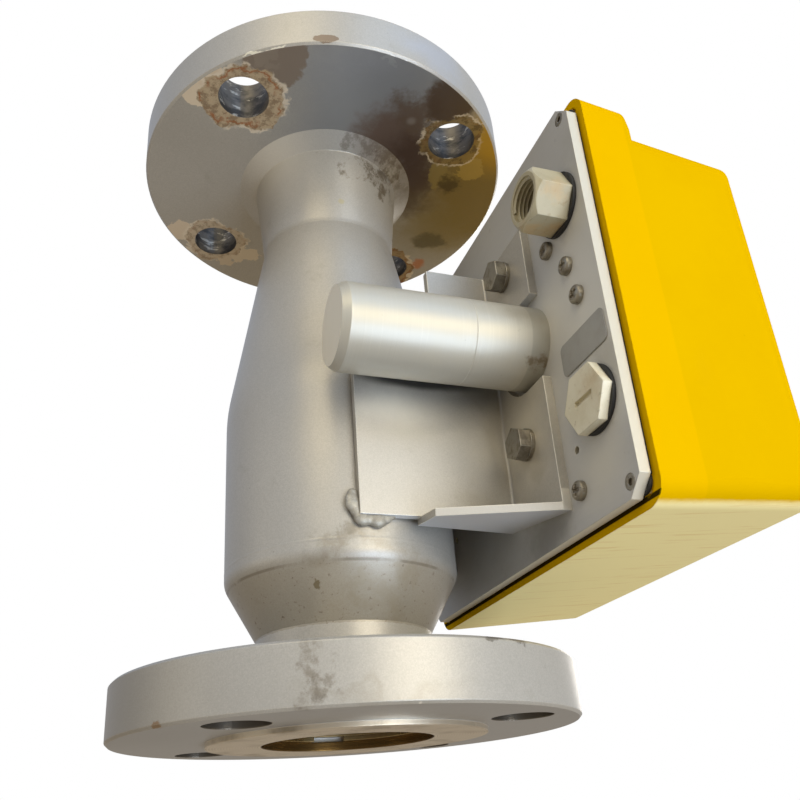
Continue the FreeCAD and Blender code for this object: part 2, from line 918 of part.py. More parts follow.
def window_glass():
    return window_sheet(glass_width, glass_height, glass_inner_y, glass_thickness)


def window_frame():
    y = glass_inner_y + frame_thickness
    outer = window_sheet(frame_width, frame_height, y, frame_thickness)
    holes = [window_opening(y, frame_thickness)]
    for x, z in frame_screw_points():
        holes.append(rod_y(frame_screw_r + screw_clearance, y, frame_thickness, x, z))
    return outer.cut(Part.makeCompound(holes))


def frame_screws():
    screws = []
    y = glass_inner_y + frame_thickness
    for x, z in frame_screw_points():
        head = rod_y(frame_screw_head_r, y + frame_screw_head_height, frame_screw_head_height, x, z)
        shank = rod_y(frame_screw_r, y, frame_thickness + frame_screw_depth, x, z)
        screws.append(head.fuse(shank).removeSplitter())
    return Part.makeCompound(screws)


def bracket_bolts():
    bolts = []
    head_y = plate_y + sheet + spring_washer_thickness
    end_y = plate_inner_y - nut_height - bolt_tail
    for column in bracket_bolt_columns:
        for z in bracket_bolt_heights():
            head = hex_y(bolt_head_flats, head_y + bolt_head_height, bolt_head_height, column, z,
                         upright_hex)
            shank = rod_y(bolt_r, head_y, head_y - end_y, column, z)
            bolts.append(head.fuse(shank).removeSplitter())
    return Part.makeCompound(bolts)


def spring_washers():
    washers = []
    y = plate_y + sheet + spring_washer_thickness
    for column in bracket_bolt_columns:
        for z in bracket_bolt_heights():
            washer = ring_y(spring_washer_r, bolt_r + screw_clearance, y, spring_washer_thickness,
                            column, z)
            gap = 2.0 * spring_washer_r * math.sin(math.radians(spring_washer_gap_angle / 2.0))
            slot = box(column, column + 2.0 * spring_washer_r, y - spring_washer_thickness, y,
                       z - gap / 2.0, z + gap / 2.0)
            washers.append(washer.cut(slot))
    return Part.makeCompound(washers)


def bracket_nuts():
    nuts = []
    for column in bracket_bolt_columns:
        for z in bracket_bolt_heights():
            nut = hex_y(bolt_head_flats, plate_inner_y, nut_height, column, z, upright_hex)
            hole = rod_y(bolt_r + thread_clearance, plate_inner_y, nut_height, column, z)
            nuts.append(nut.cut(hole))
    return Part.makeCompound(nuts)


# The follower's housing and its bearings
cap_bore_r = follower_housing_r - housing_wall
cap_floor_y = housing_rear_y - cap_end_thickness
spigot_bore_r = cap_bore_r - housing_spigot_wall
neck_end_y = plate_y - housing_neck_length
front_bearing_y = neck_end_y + bearing_width
rear_bearing_y = cap_floor_y + bearing_width


def on_axis(radius, y, length):
    return rod_y(radius, y, length, follower_x, indicator_z)


def housing_base():
    # A turned cup on the back plate, with a neck through it for the nut and the bearing.
    spigot_y = housing_joint_y + housing_spigot_length
    floor_y = plate_y + housing_floor
    body = fuse_all([
        on_axis(follower_housing_r, housing_joint_y, housing_joint_y - plate_y),
        on_axis(cap_bore_r - seat_clearance, spigot_y, housing_spigot_length),
        on_axis(housing_neck_r, plate_y, housing_neck_length),
    ])
    return body.cut(Part.makeCompound([
        on_axis(spigot_bore_r, spigot_y, spigot_y - floor_y),
        on_axis(bearing_r - bearing_wall, floor_y, floor_y - neck_end_y),
        on_axis(bearing_r, front_bearing_y, bearing_width),
    ]))


def housing_cap():
    length = housing_rear_y - housing_joint_y
    straight = on_axis(follower_housing_r, housing_rear_y - housing_chamfer_length,
                       length - housing_chamfer_length)
    end_r = follower_housing_r - housing_chamfer_depth
    cone = Part.makeCone(end_r, follower_housing_r, housing_chamfer_length,
                         V(follower_x, housing_rear_y, indicator_z), FRONT)
    body = straight.fuse(cone)
    return body.cut(Part.makeCompound([
        on_axis(cap_bore_r, cap_floor_y, cap_floor_y - housing_joint_y),
        on_axis(bearing_r, rear_bearing_y, bearing_width),
    ]))


def housing_nut():
    nut = hex_y(housing_nut_flats, plate_inner_y, housing_nut_height, follower_x, indicator_z)
    return nut.cut(on_axis(housing_neck_r + thread_clearance, plate_inner_y, housing_nut_height))


def bearing(y):
    inner_r = shaft_r + shaft_clearance
    ring = on_axis(bearing_r - seat_clearance, y, bearing_width)
    return ring.cut(on_axis(inner_r, y, bearing_width))


def at_rest(shape):
    # Follower pieces are drawn at mid travel and turned down to the rest position.
    shape.rotate(V(follower_x, 0, indicator_z), FRONT, -follower_sweep / 2.0)
    return shape


def shaft_hole(y, length):
    return on_axis(shaft_r + seat_clearance, y, length)


def follower_shaft():
    start_y = rear_bearing_y - shaft_end_gap
    return on_axis(shaft_r, start_y, start_y - pointer_front_y)


def follower_magnet():
    y = magnet_depth / 2.0
    block = plate_xz(rectangle(follower_x, indicator_z, magnet_length, magnet_height), y, magnet_depth)
    return at_rest(block.cut(shaft_hole(y, magnet_depth)))


def magnet_holder():
    # An open box that carries the magnet and clamps the shaft.
    y = magnet_depth / 2.0
    width = magnet_length + 2.0 * (holder_wall + seat_clearance)
    height = magnet_height + 2.0 * (holder_wall + seat_clearance)
    depth = magnet_depth + holder_floor
    block = plate_xz(rectangle(follower_x, indicator_z, width, height), y, depth)
    inside = rectangle(follower_x, indicator_z, width - 2.0 * holder_wall, height - 2.0 * holder_wall)
    pocket = plate_xz(inside, y, magnet_depth)
    return at_rest(block.cut(Part.makeCompound([pocket, shaft_hole(y, depth)])))


def counterweight():
    # An arm opposite the pointer with a round weight at its end.
    arm_x = follower_x - weight_r + weight_arm_width
    arm = box(arm_x, follower_x, weight_y - weight_thickness, weight_y,
              indicator_z - weight_arm_width / 2.0, indicator_z + weight_arm_width / 2.0)
    hub = on_axis(weight_arm_width / 2.0 + holder_wall, weight_y, weight_thickness)
    weight = rod_y(weight_arm_width, weight_y, weight_thickness, arm_x, indicator_z)
    body = fuse_all([arm, hub, weight])
    return at_rest(body.cut(shaft_hole(weight_y, weight_thickness)))


def damping_disc():
    return on_axis(disc_r, disc_y, disc_thickness).cut(shaft_hole(disc_y, disc_thickness))


def damping_magnet():
    # A yoke on the back plate whose two poles straddle the disc's upper edge.
    x0 = follower_x - yoke_width / 2.0
    x1 = follower_x + yoke_width / 2.0
    low_z = indicator_z + disc_r - yoke_overlap
    leg_z = indicator_z + disc_r + yoke_gap
    high_z = leg_z + yoke_thickness
    rear_pole_y = disc_y + yoke_gap
    front_pole_y = disc_y - disc_thickness - yoke_gap
    end_y = front_pole_y - yoke_thickness
    leg = box(x0, x1, end_y, plate_inner_y, leg_z, high_z)
    rear_pole = box(x0, x1, rear_pole_y, rear_pole_y + yoke_thickness, low_z, leg_z)
    front_pole = box(x0, x1, end_y, front_pole_y, low_z, leg_z)
    return fuse_all([leg, rear_pole, front_pole])


def pointer():
    # A flat needle at the front of its hub.
    x = follower_x
    z = indicator_z
    tail_half = pointer_width
    half = pointer_width / 2.0
    tip_half = pointer_tip_width / 2.0
    points = [
        (x - pointer_tail, z - tail_half, pointer_corner_r),
        (x, z - half),
        (x + pointer_length, z - tip_half),
        (x + pointer_length, z + tip_half),
        (x, z + half),
        (x - pointer_tail, z + tail_half, pointer_corner_r),
    ]
    needle = plate_xz(points, pointer_front_y + pointer_thickness, pointer_thickness)
    hub = on_axis(pointer_hub_r, pointer_rear_y, pointer_hub_length)
    hub_hole = shaft_hole(pointer_rear_y, pointer_hub_length)
    return at_rest(needle.fuse(hub).removeSplitter().cut(hub_hole))


def dial_plate():
    points = rectangle(plate_x, window_z, dial_width, dial_height, dial_corner_r)
    body = plate_xz(points, dial_rear_y, dial_thickness)
    holes = [on_axis(dial_hole_r, dial_rear_y, dial_thickness)]
    for x, z in post_points():
        holes.append(rod_y(dial_screw_r + screw_clearance, dial_rear_y, dial_thickness, x, z))
    return body.cut(Part.makeCompound(holes))


def dial_posts():
    posts = []
    hole_depth = dial_screw_depth + screw_clearance
    for x, z in post_points():
        post = rod_y(post_r, plate_inner_y, plate_inner_y - dial_rear_y, x, z)
        spigot = rod_y(post_spigot_r, plate_inner_y + post_spigot_length, post_spigot_length, x, z)
        hole = rod_y(dial_screw_r + thread_clearance, dial_rear_y + hole_depth, hole_depth, x, z)
        posts.append(post.fuse(spigot).removeSplitter().cut(hole))
    return Part.makeCompound(posts)


def dial_screws():
    screws = []
    for x, z in post_points():
        shank = rod_y(dial_screw_r, dial_rear_y + dial_screw_depth, dial_screw_depth + dial_thickness, x, z)
        head = rod_y(dial_screw_head_r, dial_y, dial_screw_head_height, x, z)
        screws.append(head.fuse(shank).removeSplitter())
    return Part.makeCompound(screws)


# Cable entry and plug
entry_face_y = plate_y + entry_seal_thickness
entry_mouth_y = entry_face_y + entry_length
entry_end_y = plate_y - entry_spigot_length


def entry_seal(z):
    return ring_y(entry_seal_r, entry_spigot_r + screw_clearance, entry_face_y, entry_seal_thickness,
                  entry_x, z)


def entry_nut(z):
    nut = hex_y(entry_nut_flats, plate_inner_y, entry_nut_height, entry_x, z, upright_hex)
    hole_r = entry_spigot_r + thread_clearance
    return nut.cut(rod_y(hole_r, plate_inner_y, entry_nut_height, entry_x, z))


def cable_entry():
    # A hexagonal body with a threaded mouth and a spigot through the plate.
    corner_r = entry_flats / math.sqrt(3.0)
    body = hex_y(entry_flats, entry_mouth_y, entry_length, entry_x, entry_z, entry_turn)
    rim = Part.makeCone(entry_mouth_r, entry_mouth_r + entry_chamfer + corner_r, entry_chamfer + corner_r,
                        V(entry_x, entry_mouth_y, entry_z), FRONT)
    rest = rod_y(corner_r + entry_chamfer, entry_mouth_y - corner_r, entry_length, entry_x, entry_z)
    body = body.common(rim.fuse(rest))
    spigot = rod_y(entry_spigot_r, entry_face_y, entry_face_y - entry_end_y, entry_x, entry_z)
    mouth = rod_y(entry_thread_r, entry_mouth_y, entry_thread_length, entry_x, entry_z)
    way = rod_y(entry_way_r, entry_mouth_y, entry_mouth_y - entry_end_y, entry_x, entry_z)
    return body.fuse(spigot).removeSplitter().cut(mouth.fuse(way))


def entry_plug():
    # A blanking plug with a shallow slot in its head.
    head_y = entry_face_y + plug_head_height
    head = hex_y(plug_head_flats, head_y, plug_head_height, entry_x, plug_z)
    spigot = rod_y(entry_spigot_r, entry_face_y, entry_face_y - entry_end_y, entry_x, plug_z)
    slot = box(entry_x - plug_slot_length / 2.0, entry_x + plug_slot_length / 2.0,
               head_y - plug_slot_depth, head_y,
               plug_z - plug_slot_width / 2.0, plug_z + plug_slot_width / 2.0)
    return head.fuse(spigot).removeSplitter().cut(slot)


def rear_screws():
    screws = []
    head_y = plate_y + rear_head_height
    length = rear_head_height + plate_thickness + screw_grip
    for x, z in rear_screw_points():
        head = rod_y(rear_head_r, head_y, rear_head_height, x, z)
        screw = head.fuse(rod_y(rear_screw_r, head_y, length, x, z)).removeSplitter()
        wide = rear_cross_length / 2.0
        thin = rear_cross_width / 2.0
        low_y = head_y - rear_cross_depth
        first = box(x - wide, x + wide, low_y, head_y, z - thin, z + thin)
        second = box(x - thin, x + thin, low_y, head_y, z - wide, z + wide)
        screws.append(screw.cut(Part.makeCompound([first.fuse(second)])))
    return Part.makeCompound(screws)


def rear_screw_holes():
    depth = screw_grip + screw_clearance
    r = rear_screw_r + thread_clearance
    return Part.makeCompound([rod_y(r, plate_inner_y, depth, x, z) for x, z in rear_screw_points()])


def terminal_middle():
    first = plate_point(terminal_points[0])
    second = plate_point(terminal_points[1])
    return ((first[0] + second[0]) / 2.0, (first[1] + second[1]) / 2.0)


def terminal_ways():
    # The middle height of each wire way, evenly spaced up the block.
    z = terminal_middle()[1]
    pitch = terminal_height / terminal_way_count
    first = z - terminal_height / 2.0 + pitch / 2.0
    return [first + i * pitch for i in range(terminal_way_count)]


def terminal_block():
    x, z = terminal_middle()
    front_y = plate_inner_y - terminal_depth
    points = rectangle(x, z, terminal_width, terminal_height)
    body = plate_xz(points, plate_inner_y, terminal_depth)
    cuts = [rear_screw_holes()]
    way_y = front_y + terminal_screw_length + terminal_way_r
    for way_z in terminal_ways():
        start = V(x + terminal_width / 2.0, way_y, way_z)
        cuts.append(Part.makeCylinder(terminal_way_r, terminal_way_depth, start, V(-1, 0, 0)))
        cuts.append(rod_y(terminal_screw_r, front_y + terminal_screw_length, terminal_screw_length,
                          x, way_z))
    return body.cut(Part.makeCompound(cuts))


def terminal_screws():
    x = terminal_middle()[0]
    front_y = plate_inner_y - terminal_depth
    screws = []
    for way_z in terminal_ways():
        radius = terminal_screw_r - seat_clearance
        screw = rod_y(radius, front_y + terminal_screw_length, terminal_screw_length, x, way_z)
        half = terminal_screw_slot / 2.0
        slot = box(x - radius, x + radius, front_y, front_y + terminal_screw_slot,
                   way_z - half, way_z + half)
        screws.append(screw.cut(slot))
    return Part.makeCompound(screws)


def inner_block(point, width, height, thickness):
    x, z = plate_point(point)
    body = plate_xz(rectangle(x, z, width, height, block_corner_r), plate_inner_y, thickness)
    return body.cut(rear_screw_holes())


def rear_label():
    x, z = plate_point(label_point)
    points = rectangle(x, z, label_width, label_height, label_corner_r)
    return plate_xz(points, plate_y + label_thickness, label_thickness)


nodes = {
    "lower_flange": lower_flange(),
    "upper_flange": upper_flange(),
    "lower_reducer": lower_reducer(),
    "measuring_body": measuring_body(),
    "measuring_cone": measuring_cone(),
    "lower_guide": guide(),
    "upper_guide": mirrored_top(guide()),
    "lower_circlip": circlip(),
    "upper_circlip": mirrored_top(circlip()),
    "guide_rod": guide_rod(),
    "lower_stop": stop_ring(lower_stop_z),
    "upper_stop": stop_ring(upper_stop_z),
    "float_body": float_body(),
    "float_magnet": float_magnet(),
    "float_plug": float_plug(),
    "near_bracket": near_bracket(),
    "far_bracket": far_bracket(),
    "bracket_bolts": bracket_bolts(),
    "spring_washers": spring_washers(),
    "bracket_nuts": bracket_nuts(),
    "back_plate": back_plate(),
    "plate_seal": plate_seal(),
    "cover": cover(),
    "cover_screws": cover_screws(),
    "window_seal": window_seal(),
    "window_glass": window_glass(),
    "window_frame": window_frame(),
    "frame_screws": frame_screws(),
    "dial_plate": dial_plate(),
    "dial_posts": dial_posts(),
    "dial_screws": dial_screws(),
    "pointer": pointer(),
    "follower_shaft": follower_shaft(),
    "magnet_holder": magnet_holder(),
    "follower_magnet": follower_magnet(),
    "counterweight": counterweight(),
    "damping_disc": damping_disc(),
    "damping_magnet": damping_magnet(),
    "rear_bearing": bearing(rear_bearing_y),
    "front_bearing": bearing(front_bearing_y),
    "housing_base": housing_base(),
    "housing_cap": housing_cap(),
    "housing_nut": housing_nut(),
    "cable_entry": cable_entry(),
    "entry_seal": entry_seal(entry_z),
    "entry_nut": entry_nut(entry_z),
    "entry_plug": entry_plug(),
    "plug_seal": entry_seal(plug_z),
    "plug_nut": entry_nut(plug_z),
    "rear_screws": rear_screws(),
    "rear_label": rear_label(),
    "terminal_block": terminal_block(),
    "terminal_screws": terminal_screws(),
    "earth_clamp": inner_block(earth_point, earth_width, earth_width, screw_grip + earth_thickness),
    "cable_clip": inner_block(clip_point, clip_width, clip_height, screw_grip + clip_thickness),
}

os.makedirs("parts", exist_ok=True)
for name, shape in nodes.items():
    shape.exportStep("parts/" + name + ".step")
    print(name, "valid" if shape.isValid() else "INVALID", len(shape.Solids),
          round(shape.Volume / 1000.0, 2))
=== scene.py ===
import math
import random
import bpy
import bmesh
from mathutils import Matrix, Vector


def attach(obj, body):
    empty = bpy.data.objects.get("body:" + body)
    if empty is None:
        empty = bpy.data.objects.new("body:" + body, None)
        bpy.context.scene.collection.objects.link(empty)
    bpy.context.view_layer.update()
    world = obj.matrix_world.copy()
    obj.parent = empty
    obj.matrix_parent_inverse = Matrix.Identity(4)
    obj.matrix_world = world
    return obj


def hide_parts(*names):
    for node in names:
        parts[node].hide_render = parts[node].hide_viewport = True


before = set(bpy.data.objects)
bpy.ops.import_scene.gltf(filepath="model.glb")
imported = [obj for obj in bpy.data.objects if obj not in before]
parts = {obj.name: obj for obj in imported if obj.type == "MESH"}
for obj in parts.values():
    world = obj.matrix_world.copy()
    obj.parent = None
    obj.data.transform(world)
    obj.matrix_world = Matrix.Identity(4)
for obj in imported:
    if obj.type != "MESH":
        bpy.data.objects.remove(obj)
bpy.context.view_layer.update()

# Looks for the flanged flow meter with its indicator box.
# Sizes in the dictionaries are in millimetres, colours are 0 to 255.
mm = 0.001
print("frame loaded with", len(parts), "nodes")


# Node helpers

def toLinear(value):
    value = value / 255
    return value / 12.92 if value <= 0.04045 else ((value + 0.055) / 1.055) ** 2.4


def tint(red, green, blue):
    return (toLinear(red), toLinear(green), toLinear(blue), 1)


def join(tree, value, socket):
    if isinstance(value, bpy.types.NodeSocket):
        tree.links.new(value, socket)
    elif value is not None:
        socket.default_value = value


def addNode(tree, kind, sockets=None, **settings):
    node = tree.nodes.new(kind)
    for name, value in settings.items():
        setattr(node, name, value)
    for key, value in (sockets or {}).items():
        join(tree, value, node.inputs[key])
    return node


def calc(tree, operation, first, second=None, third=None):
    sockets = {0: first, 1: second, 2: third}
    return addNode(tree, "ShaderNodeMath", sockets, operation=operation).outputs[0]


def vectorCalc(tree, operation, first, second=None):
    node = addNode(tree, "ShaderNodeVectorMath", {0: first, 1: second}, operation=operation)
    return node.outputs["Value" if operation in ("LENGTH", "DOT_PRODUCT") else "Vector"]


def remap(tree, value, low, high, start=0.0, end=1.0, smooth=True):
    kind = "SMOOTHSTEP" if smooth else "LINEAR"
    sockets = {0: value, 1: low, 2: high, 3: start, 4: end}
    return addNode(tree, "ShaderNodeMapRange", sockets, interpolation_type=kind).outputs[0]


def mixColour(tree, mask, under, over, way="MIX"):
    sockets = {0: mask, 6: under, 7: over}
    return addNode(tree, "ShaderNodeMix", sockets, data_type="RGBA", blend_type=way).outputs[2]


def mixValue(tree, mask, under, over):
    return addNode(tree, "ShaderNodeMix", {0: mask, 2: under, 3: over}, data_type="FLOAT").outputs[0]


def noise(tree, place, scale, detail=3.0, rough=0.5, stretch=None):
    if stretch is not None:
        place = vectorCalc(tree, "MULTIPLY", place, stretch)
    sockets = {"Vector": place, "Scale": scale, "Detail": detail, "Roughness": rough}
    return addNode(tree, "ShaderNodeTexNoise", sockets).outputs[0]


def warped(tree, place, scale, amount):
    # A place pushed about by noise, so that round outlines become irregular.
    sockets = {"Vector": place, "Scale": scale, "Detail": 4.0}
    shifts = addNode(tree, "ShaderNodeTexNoise", sockets).outputs["Color"]
    shifts = vectorCalc(tree, "SUBTRACT", shifts, (0.5, 0.5, 0.5))
    spread = addNode(tree, "ShaderNodeVectorMath", {0: shifts, "Scale": amount}, operation="SCALE")
    return vectorCalc(tree, "ADD", place, spread.outputs[0])


def startGroup(name, inputs, outputs):
    group = bpy.data.node_groups.new(name, "ShaderNodeTree")
    kinds = {"F": "NodeSocketFloat", "V": "NodeSocketVector", "C": "NodeSocketColor"}
    for label, kind, value in inputs:
        socket = group.interface.new_socket(name=label, in_out="INPUT", socket_type=kinds[kind])
        socket.default_value = value
    for label, kind in outputs:
        group.interface.new_socket(name=label, in_out="OUTPUT", socket_type=kinds[kind])
    return group, group.nodes.new("NodeGroupInput").outputs, group.nodes.new("NodeGroupOutput").inputs


def useGroup(tree, group, sockets=None):
    node = tree.nodes.new("ShaderNodeGroup")
    node.node_tree = group
    for key, value in (sockets or {}).items():
        join(tree, value, node.inputs[key])
    return node


def objectPlace(tree):
    return addNode(tree, "ShaderNodeTexCoord").outputs["Object"]


# Effects that several finishes share

def makeStain():
    # A ragged spot: 1 inside, 0 outside.
    group, given, result = startGroup("stainAndLightSpot", [
        ("Centre", "V", (0, 0, 0)), ("Reach", "F", 0.01), ("Stretch", "V", (1, 1, 1)),
        ("Softness", "F", 0.2), ("Raggedness", "F", 0.3), ("Grain", "F", 120)], [("Mask", "F")])
    place = objectPlace(group)
    push = calc(group, "MULTIPLY", calc(group, "MULTIPLY", given["Reach"], given["Raggedness"]), 4.0)
    moved = warped(group, place, calc(group, "MULTIPLY", given["Grain"], 0.4), push)
    offset = vectorCalc(group, "SUBTRACT", moved, given["Centre"])
    offset = vectorCalc(group, "MULTIPLY", offset, given["Stretch"])
    far = calc(group, "DIVIDE", vectorCalc(group, "LENGTH", offset), given["Reach"])
    fine = noise(group, place, calc(group, "MULTIPLY", given["Grain"], 2.5), 5, 0.65)
    fine = calc(group, "SUBTRACT", fine, 0.5)
    far = calc(group, "MULTIPLY_ADD", calc(group, "MULTIPLY", fine, 1.6), given["Raggedness"], far)
    inner = calc(group, "SUBTRACT", 1.0, given["Softness"])
    join(group, remap(group, far, inner, 1.0, 1.0, 0.0), result["Mask"])
    return group


def makeBoltRing():
    # Where a nut has rubbed the paint away: a bare patch with blotches, a rusty line and a pale lip.
    group, given, result = startGroup("boltRing", [
        ("Centre", "V", (0, 0, 0)), ("Reach", "F", 0.016), ("Raggedness", "F", 0.1)],
        [("Bare", "F"), ("Blotches", "F"), ("Rust", "F"), ("Lip", "F")])
    place = objectPlace(group)
    push = calc(group, "MULTIPLY", calc(group, "MULTIPLY", given["Reach"], given["Raggedness"]), 4.0)
    offset = vectorCalc(group, "SUBTRACT", warped(group, place, 75, push), given["Centre"])
    offset = vectorCalc(group, "MULTIPLY", offset, (1, 1, 1.6))
    far = calc(group, "DIVIDE", vectorCalc(group, "LENGTH", offset), given["Reach"])
    fine = calc(group, "SUBTRACT", noise(group, place, 420, 5, 0.65), 0.5)
    far = calc(group, "MULTIPLY_ADD", calc(group, "MULTIPLY", fine, 1.2), given["Raggedness"], far)
    join(group, remap(group, far, 0.95, 1.0, 1.0, 0.0), result["Bare"])
    join(group, remap(group, noise(group, place, 330, 6, 0.7), 0.46, 0.6), result["Blotches"])
    line = calc(group, "MULTIPLY", remap(group, far, 0.84, 0.89), remap(group, far, 0.90, 0.95, 1.0, 0.0))
    line = calc(group, "MULTIPLY", line, remap(group, noise(group, place, 140, 4, 0.6), 0.42, 0.58))
    specks = calc(group, "MULTIPLY", remap(group, noise(group, place, 800, 4, 0.7), 0.58, 0.68),
                  remap(group, far, 0.9, 0.95, 0.6, 0.0))
    join(group, calc(group, "MAXIMUM", line, specks), result["Rust"])
    lip = calc(group, "MULTIPLY", remap(group, far, 0.93, 0.98), remap(group, far, 1.02, 1.08, 1.0, 0.0))
    lip = calc(group, "MULTIPLY", lip, remap(group, noise(group, place, 110, 4, 0.6), 0.42, 0.56))
    join(group, lip, result["Lip"])
    return group


def makeGrime():
    # Cloudy dirt over the whole surface; in the bolt holes the same cloud places painted shade and painted
    # reflection streaks.
    group, given, result = startGroup("grimeAndLightCloud", [
        ("Scale", "F", 30), ("Low", "F", 0.45), ("High", "F", 0.7), ("Stretch", "V", (1, 1, 1))],
        [("Mask", "F")])
    cloud = noise(group, objectPlace(group), given["Scale"], 7, 0.62, given["Stretch"])
    join(group, remap(group, cloud, given["Low"], given["High"]), result["Mask"])
    return group


def makeFlakes():
    # The fine glitter of a metallic paint.
    group, given, result = startGroup("flakes", [
        ("Size", "F", 0.00035)], [("Shade", "F"), ("Glint", "F")])
    scale = calc(group, "DIVIDE", 1.0, given["Size"])
    cells = addNode(group, "ShaderNodeTexVoronoi", {"Vector": objectPlace(group), "Scale": scale})
    shade = addNode(group, "ShaderNodeSeparateColor", {0: cells.outputs["Color"]}).outputs[0]
    join(group, shade, result["Shade"])
    join(group, remap(group, shade, 0.9, 0.97), result["Glint"])
    return group


def makeSkin():
    # The relief of sprayed paint, in metres: a slow orange peel and a fine grain.
    group, given, result = startGroup("skin", [
        ("PeelSize", "F", 0.004), ("Peel", "F", 0.00003),
        ("GrainSize", "F", 0.0005), ("Grain", "F", 0.000004)], [("Height", "F")])
    place = objectPlace(group)
    peel = noise(group, place, calc(group, "DIVIDE", 1.0, given["PeelSize"]), 2, 0.4)
    grain = noise(group, place, calc(group, "DIVIDE", 1.0, given["GrainSize"]), 2, 0.6)
    height = calc(group, "MULTIPLY", peel, given["Peel"])
    join(group, calc(group, "MULTIPLY_ADD", grain, given["Grain"], height), result["Height"])
    return group


def makeSoftEdge():
    # The normal of a slightly broken edge, and a mask that is 1 on the edge.
    group, given, result = startGroup("softEdge", [
        ("Width", "F", 0.0004)], [("Normal", "V"), ("Edge", "F")])
    bevel = addNode(group, "ShaderNodeBevel", {"Radius": given["Width"]}, samples=6).outputs[0]
    flat = addNode(group, "ShaderNodeNewGeometry").outputs["Normal"]
    turned = calc(group, "SUBTRACT", 1.0, vectorCalc(group, "DOT_PRODUCT", bevel, flat))
    join(group, bevel, result["Normal"])
    join(group, remap(group, turned, 0.01, 0.12), result["Edge"])
    return group


def makeAxisDistance():
    # How far a point lies from an axis or a plane, and whether the surface there faces it.
    group, given, result = startGroup("axisDistance", [
        ("Centre", "V", (0, 0, 0)), ("Across", "V", (1, 1, 0))], [("Distance", "F"), ("Inward", "F")])
    offset = vectorCalc(group, "SUBTRACT", objectPlace(group), given["Centre"])
    offset = vectorCalc(group, "MULTIPLY", offset, given["Across"])
    normal = addNode(group, "ShaderNodeNewGeometry").outputs["Normal"]
    turn = vectorCalc(group, "DOT_PRODUCT", vectorCalc(group, "NORMALIZE", offset), normal)
    join(group, vectorCalc(group, "LENGTH", offset), result["Distance"])
    join(group, remap(group, turn, -0.5, -0.2, 1.0, 0.0), result["Inward"])
    return group


def makeToolMarks():
    # Evenly spaced marks of a lathe or a mill along a given distance: 0 to 1.
    group, given, result = startGroup("toolMarks", [
        ("Distance", "F", 0), ("Pitch", "F", 0.0008), ("Wander", "F", 0.0001)], [("Marks", "F")])
    drift = calc(group, "SUBTRACT", noise(group, objectPlace(group), 60, 2), 0.5)
    along = calc(group, "MULTIPLY_ADD", drift, given["Wander"], given["Distance"])
    phase = calc(group, "MULTIPLY", calc(group, "DIVIDE", along, given["Pitch"]), math.tau)
    join(group, calc(group, "MULTIPLY_ADD", calc(group, "SINE", phase), 0.5, 0.5), result["Marks"])
    return group


def makeBrushing():
    # Streaks that run along one direction.
    group, given, result = startGroup("brushing", [("Stretch", "V", (40, 40, 1200))], [("Streaks", "F")])
    join(group, noise(group, objectPlace(group), 1.0, 4, 0.6, given["Stretch"]), result["Streaks"])
    return group


def makeFacing():
    # 1 where the surface faces a direction.
    group, given, result = startGroup("facing", [
        ("Direction", "V", (0, 0, 1)), ("Low", "F", 0.3), ("High", "F", 0.8)], [("Mask", "F")])
    normal = addNode(group, "ShaderNodeNewGeometry").outputs["Normal"]
    turn = vectorCalc(group, "DOT_PRODUCT", normal, given["Direction"])
    join(group, remap(group, turn, given["Low"], given["High"]), result["Mask"])
    return group


stainAndLightSpot = makeStain()
boltRing = makeBoltRing()
grimeAndLightCloud = makeGrime()
flakes = makeFlakes()
skin = makeSkin()
softEdge = makeSoftEdge()
axisDistance = makeAxisDistance()
toolMarks = makeToolMarks()
brushing = makeBrushing()
facing = makeFacing()
print("shared effects built")


# A surface is gathered layer by layer and then wired to its shader.

def newSurface(name, colour, roughness, metallic=0.0):
    material = bpy.data.materials.new(name)
    material.use_nodes = True
    tree = material.node_tree
    tree.nodes.clear()
    shader = tree.nodes.new("ShaderNodeBsdfPrincipled")
    output = tree.nodes.new("ShaderNodeOutputMaterial")
    tree.links.new(shader.outputs[0], output.inputs[0])
    return {"material": material, "tree": tree, "shader": shader, "colour": tint(*colour),
            "roughness": roughness, "metallic": metallic, "height": None, "normal": None}


def layer(surface, mask, colour=None, roughness=None, metallic=None, strength=1.0, way="MIX"):
    tree = surface["tree"]
    if strength != 1.0:
        mask = calc(tree, "MULTIPLY", mask, strength)
    if colour is not None:
        surface["colour"] = mixColour(tree, mask, surface["colour"], tint(*colour), way)
    if roughness is not None:
        surface["roughness"] = mixValue(tree, mask, surface["roughness"], roughness)
    if metallic is not None:
        surface["metallic"] = mixValue(tree, mask, surface["metallic"], metallic)


def addRelief(surface, height):
    if surface["height"] is not None:
        height = calc(surface["tree"], "ADD", surface["height"], height)
    surface["height"] = height


def stainMask(surface, spot):
    centre = tuple(value * mm for value in spot["centre"])
    sockets = {"Centre": centre, "Reach": spot["reach"] * mm, "Stretch": spot.get("stretch", (1, 1, 1)),
               "Softness": spot.get("soft", 0.25), "Raggedness": spot.get("ragged", 0.3),
               "Grain": spot.get("grain", 120)}
    return useGroup(surface["tree"], stainAndLightSpot, sockets).outputs["Mask"]


# Lays ragged spots: stains, and in places painted light and painted shade.
def addStains(surface, spots, within=None):
    for spot in spots:
        mask = stainMask(surface, spot)
        if within is not None:
            mask = calc(surface["tree"], "MULTIPLY", mask, within)
        layer(surface, mask, spot["colour"], spot.get("rough"), spot.get("metal"),
              spot.get("strength", 1.0))


def breakEdges(surface, width, colour=None, roughness=None, metallic=None, strength=1.0):
    edge = useGroup(surface["tree"], softEdge, {"Width": width * mm})
    surface["normal"] = edge.outputs["Normal"]
    if colour is not None:
        layer(surface, edge.outputs["Edge"], colour, roughness, metallic, strength)


def grimeMask(surface, scale, low, high, stretch=(1, 1, 1)):
    sockets = {"Scale": scale, "Low": low, "High": high, "Stretch": stretch}
    return useGroup(surface["tree"], grimeAndLightCloud, sockets).outputs["Mask"]


def distanceFrom(surface, centre, across):
    sockets = {"Centre": tuple(value * mm for value in centre), "Across": across}
    return useGroup(surface["tree"], axisDistance, sockets).outputs["Distance"]


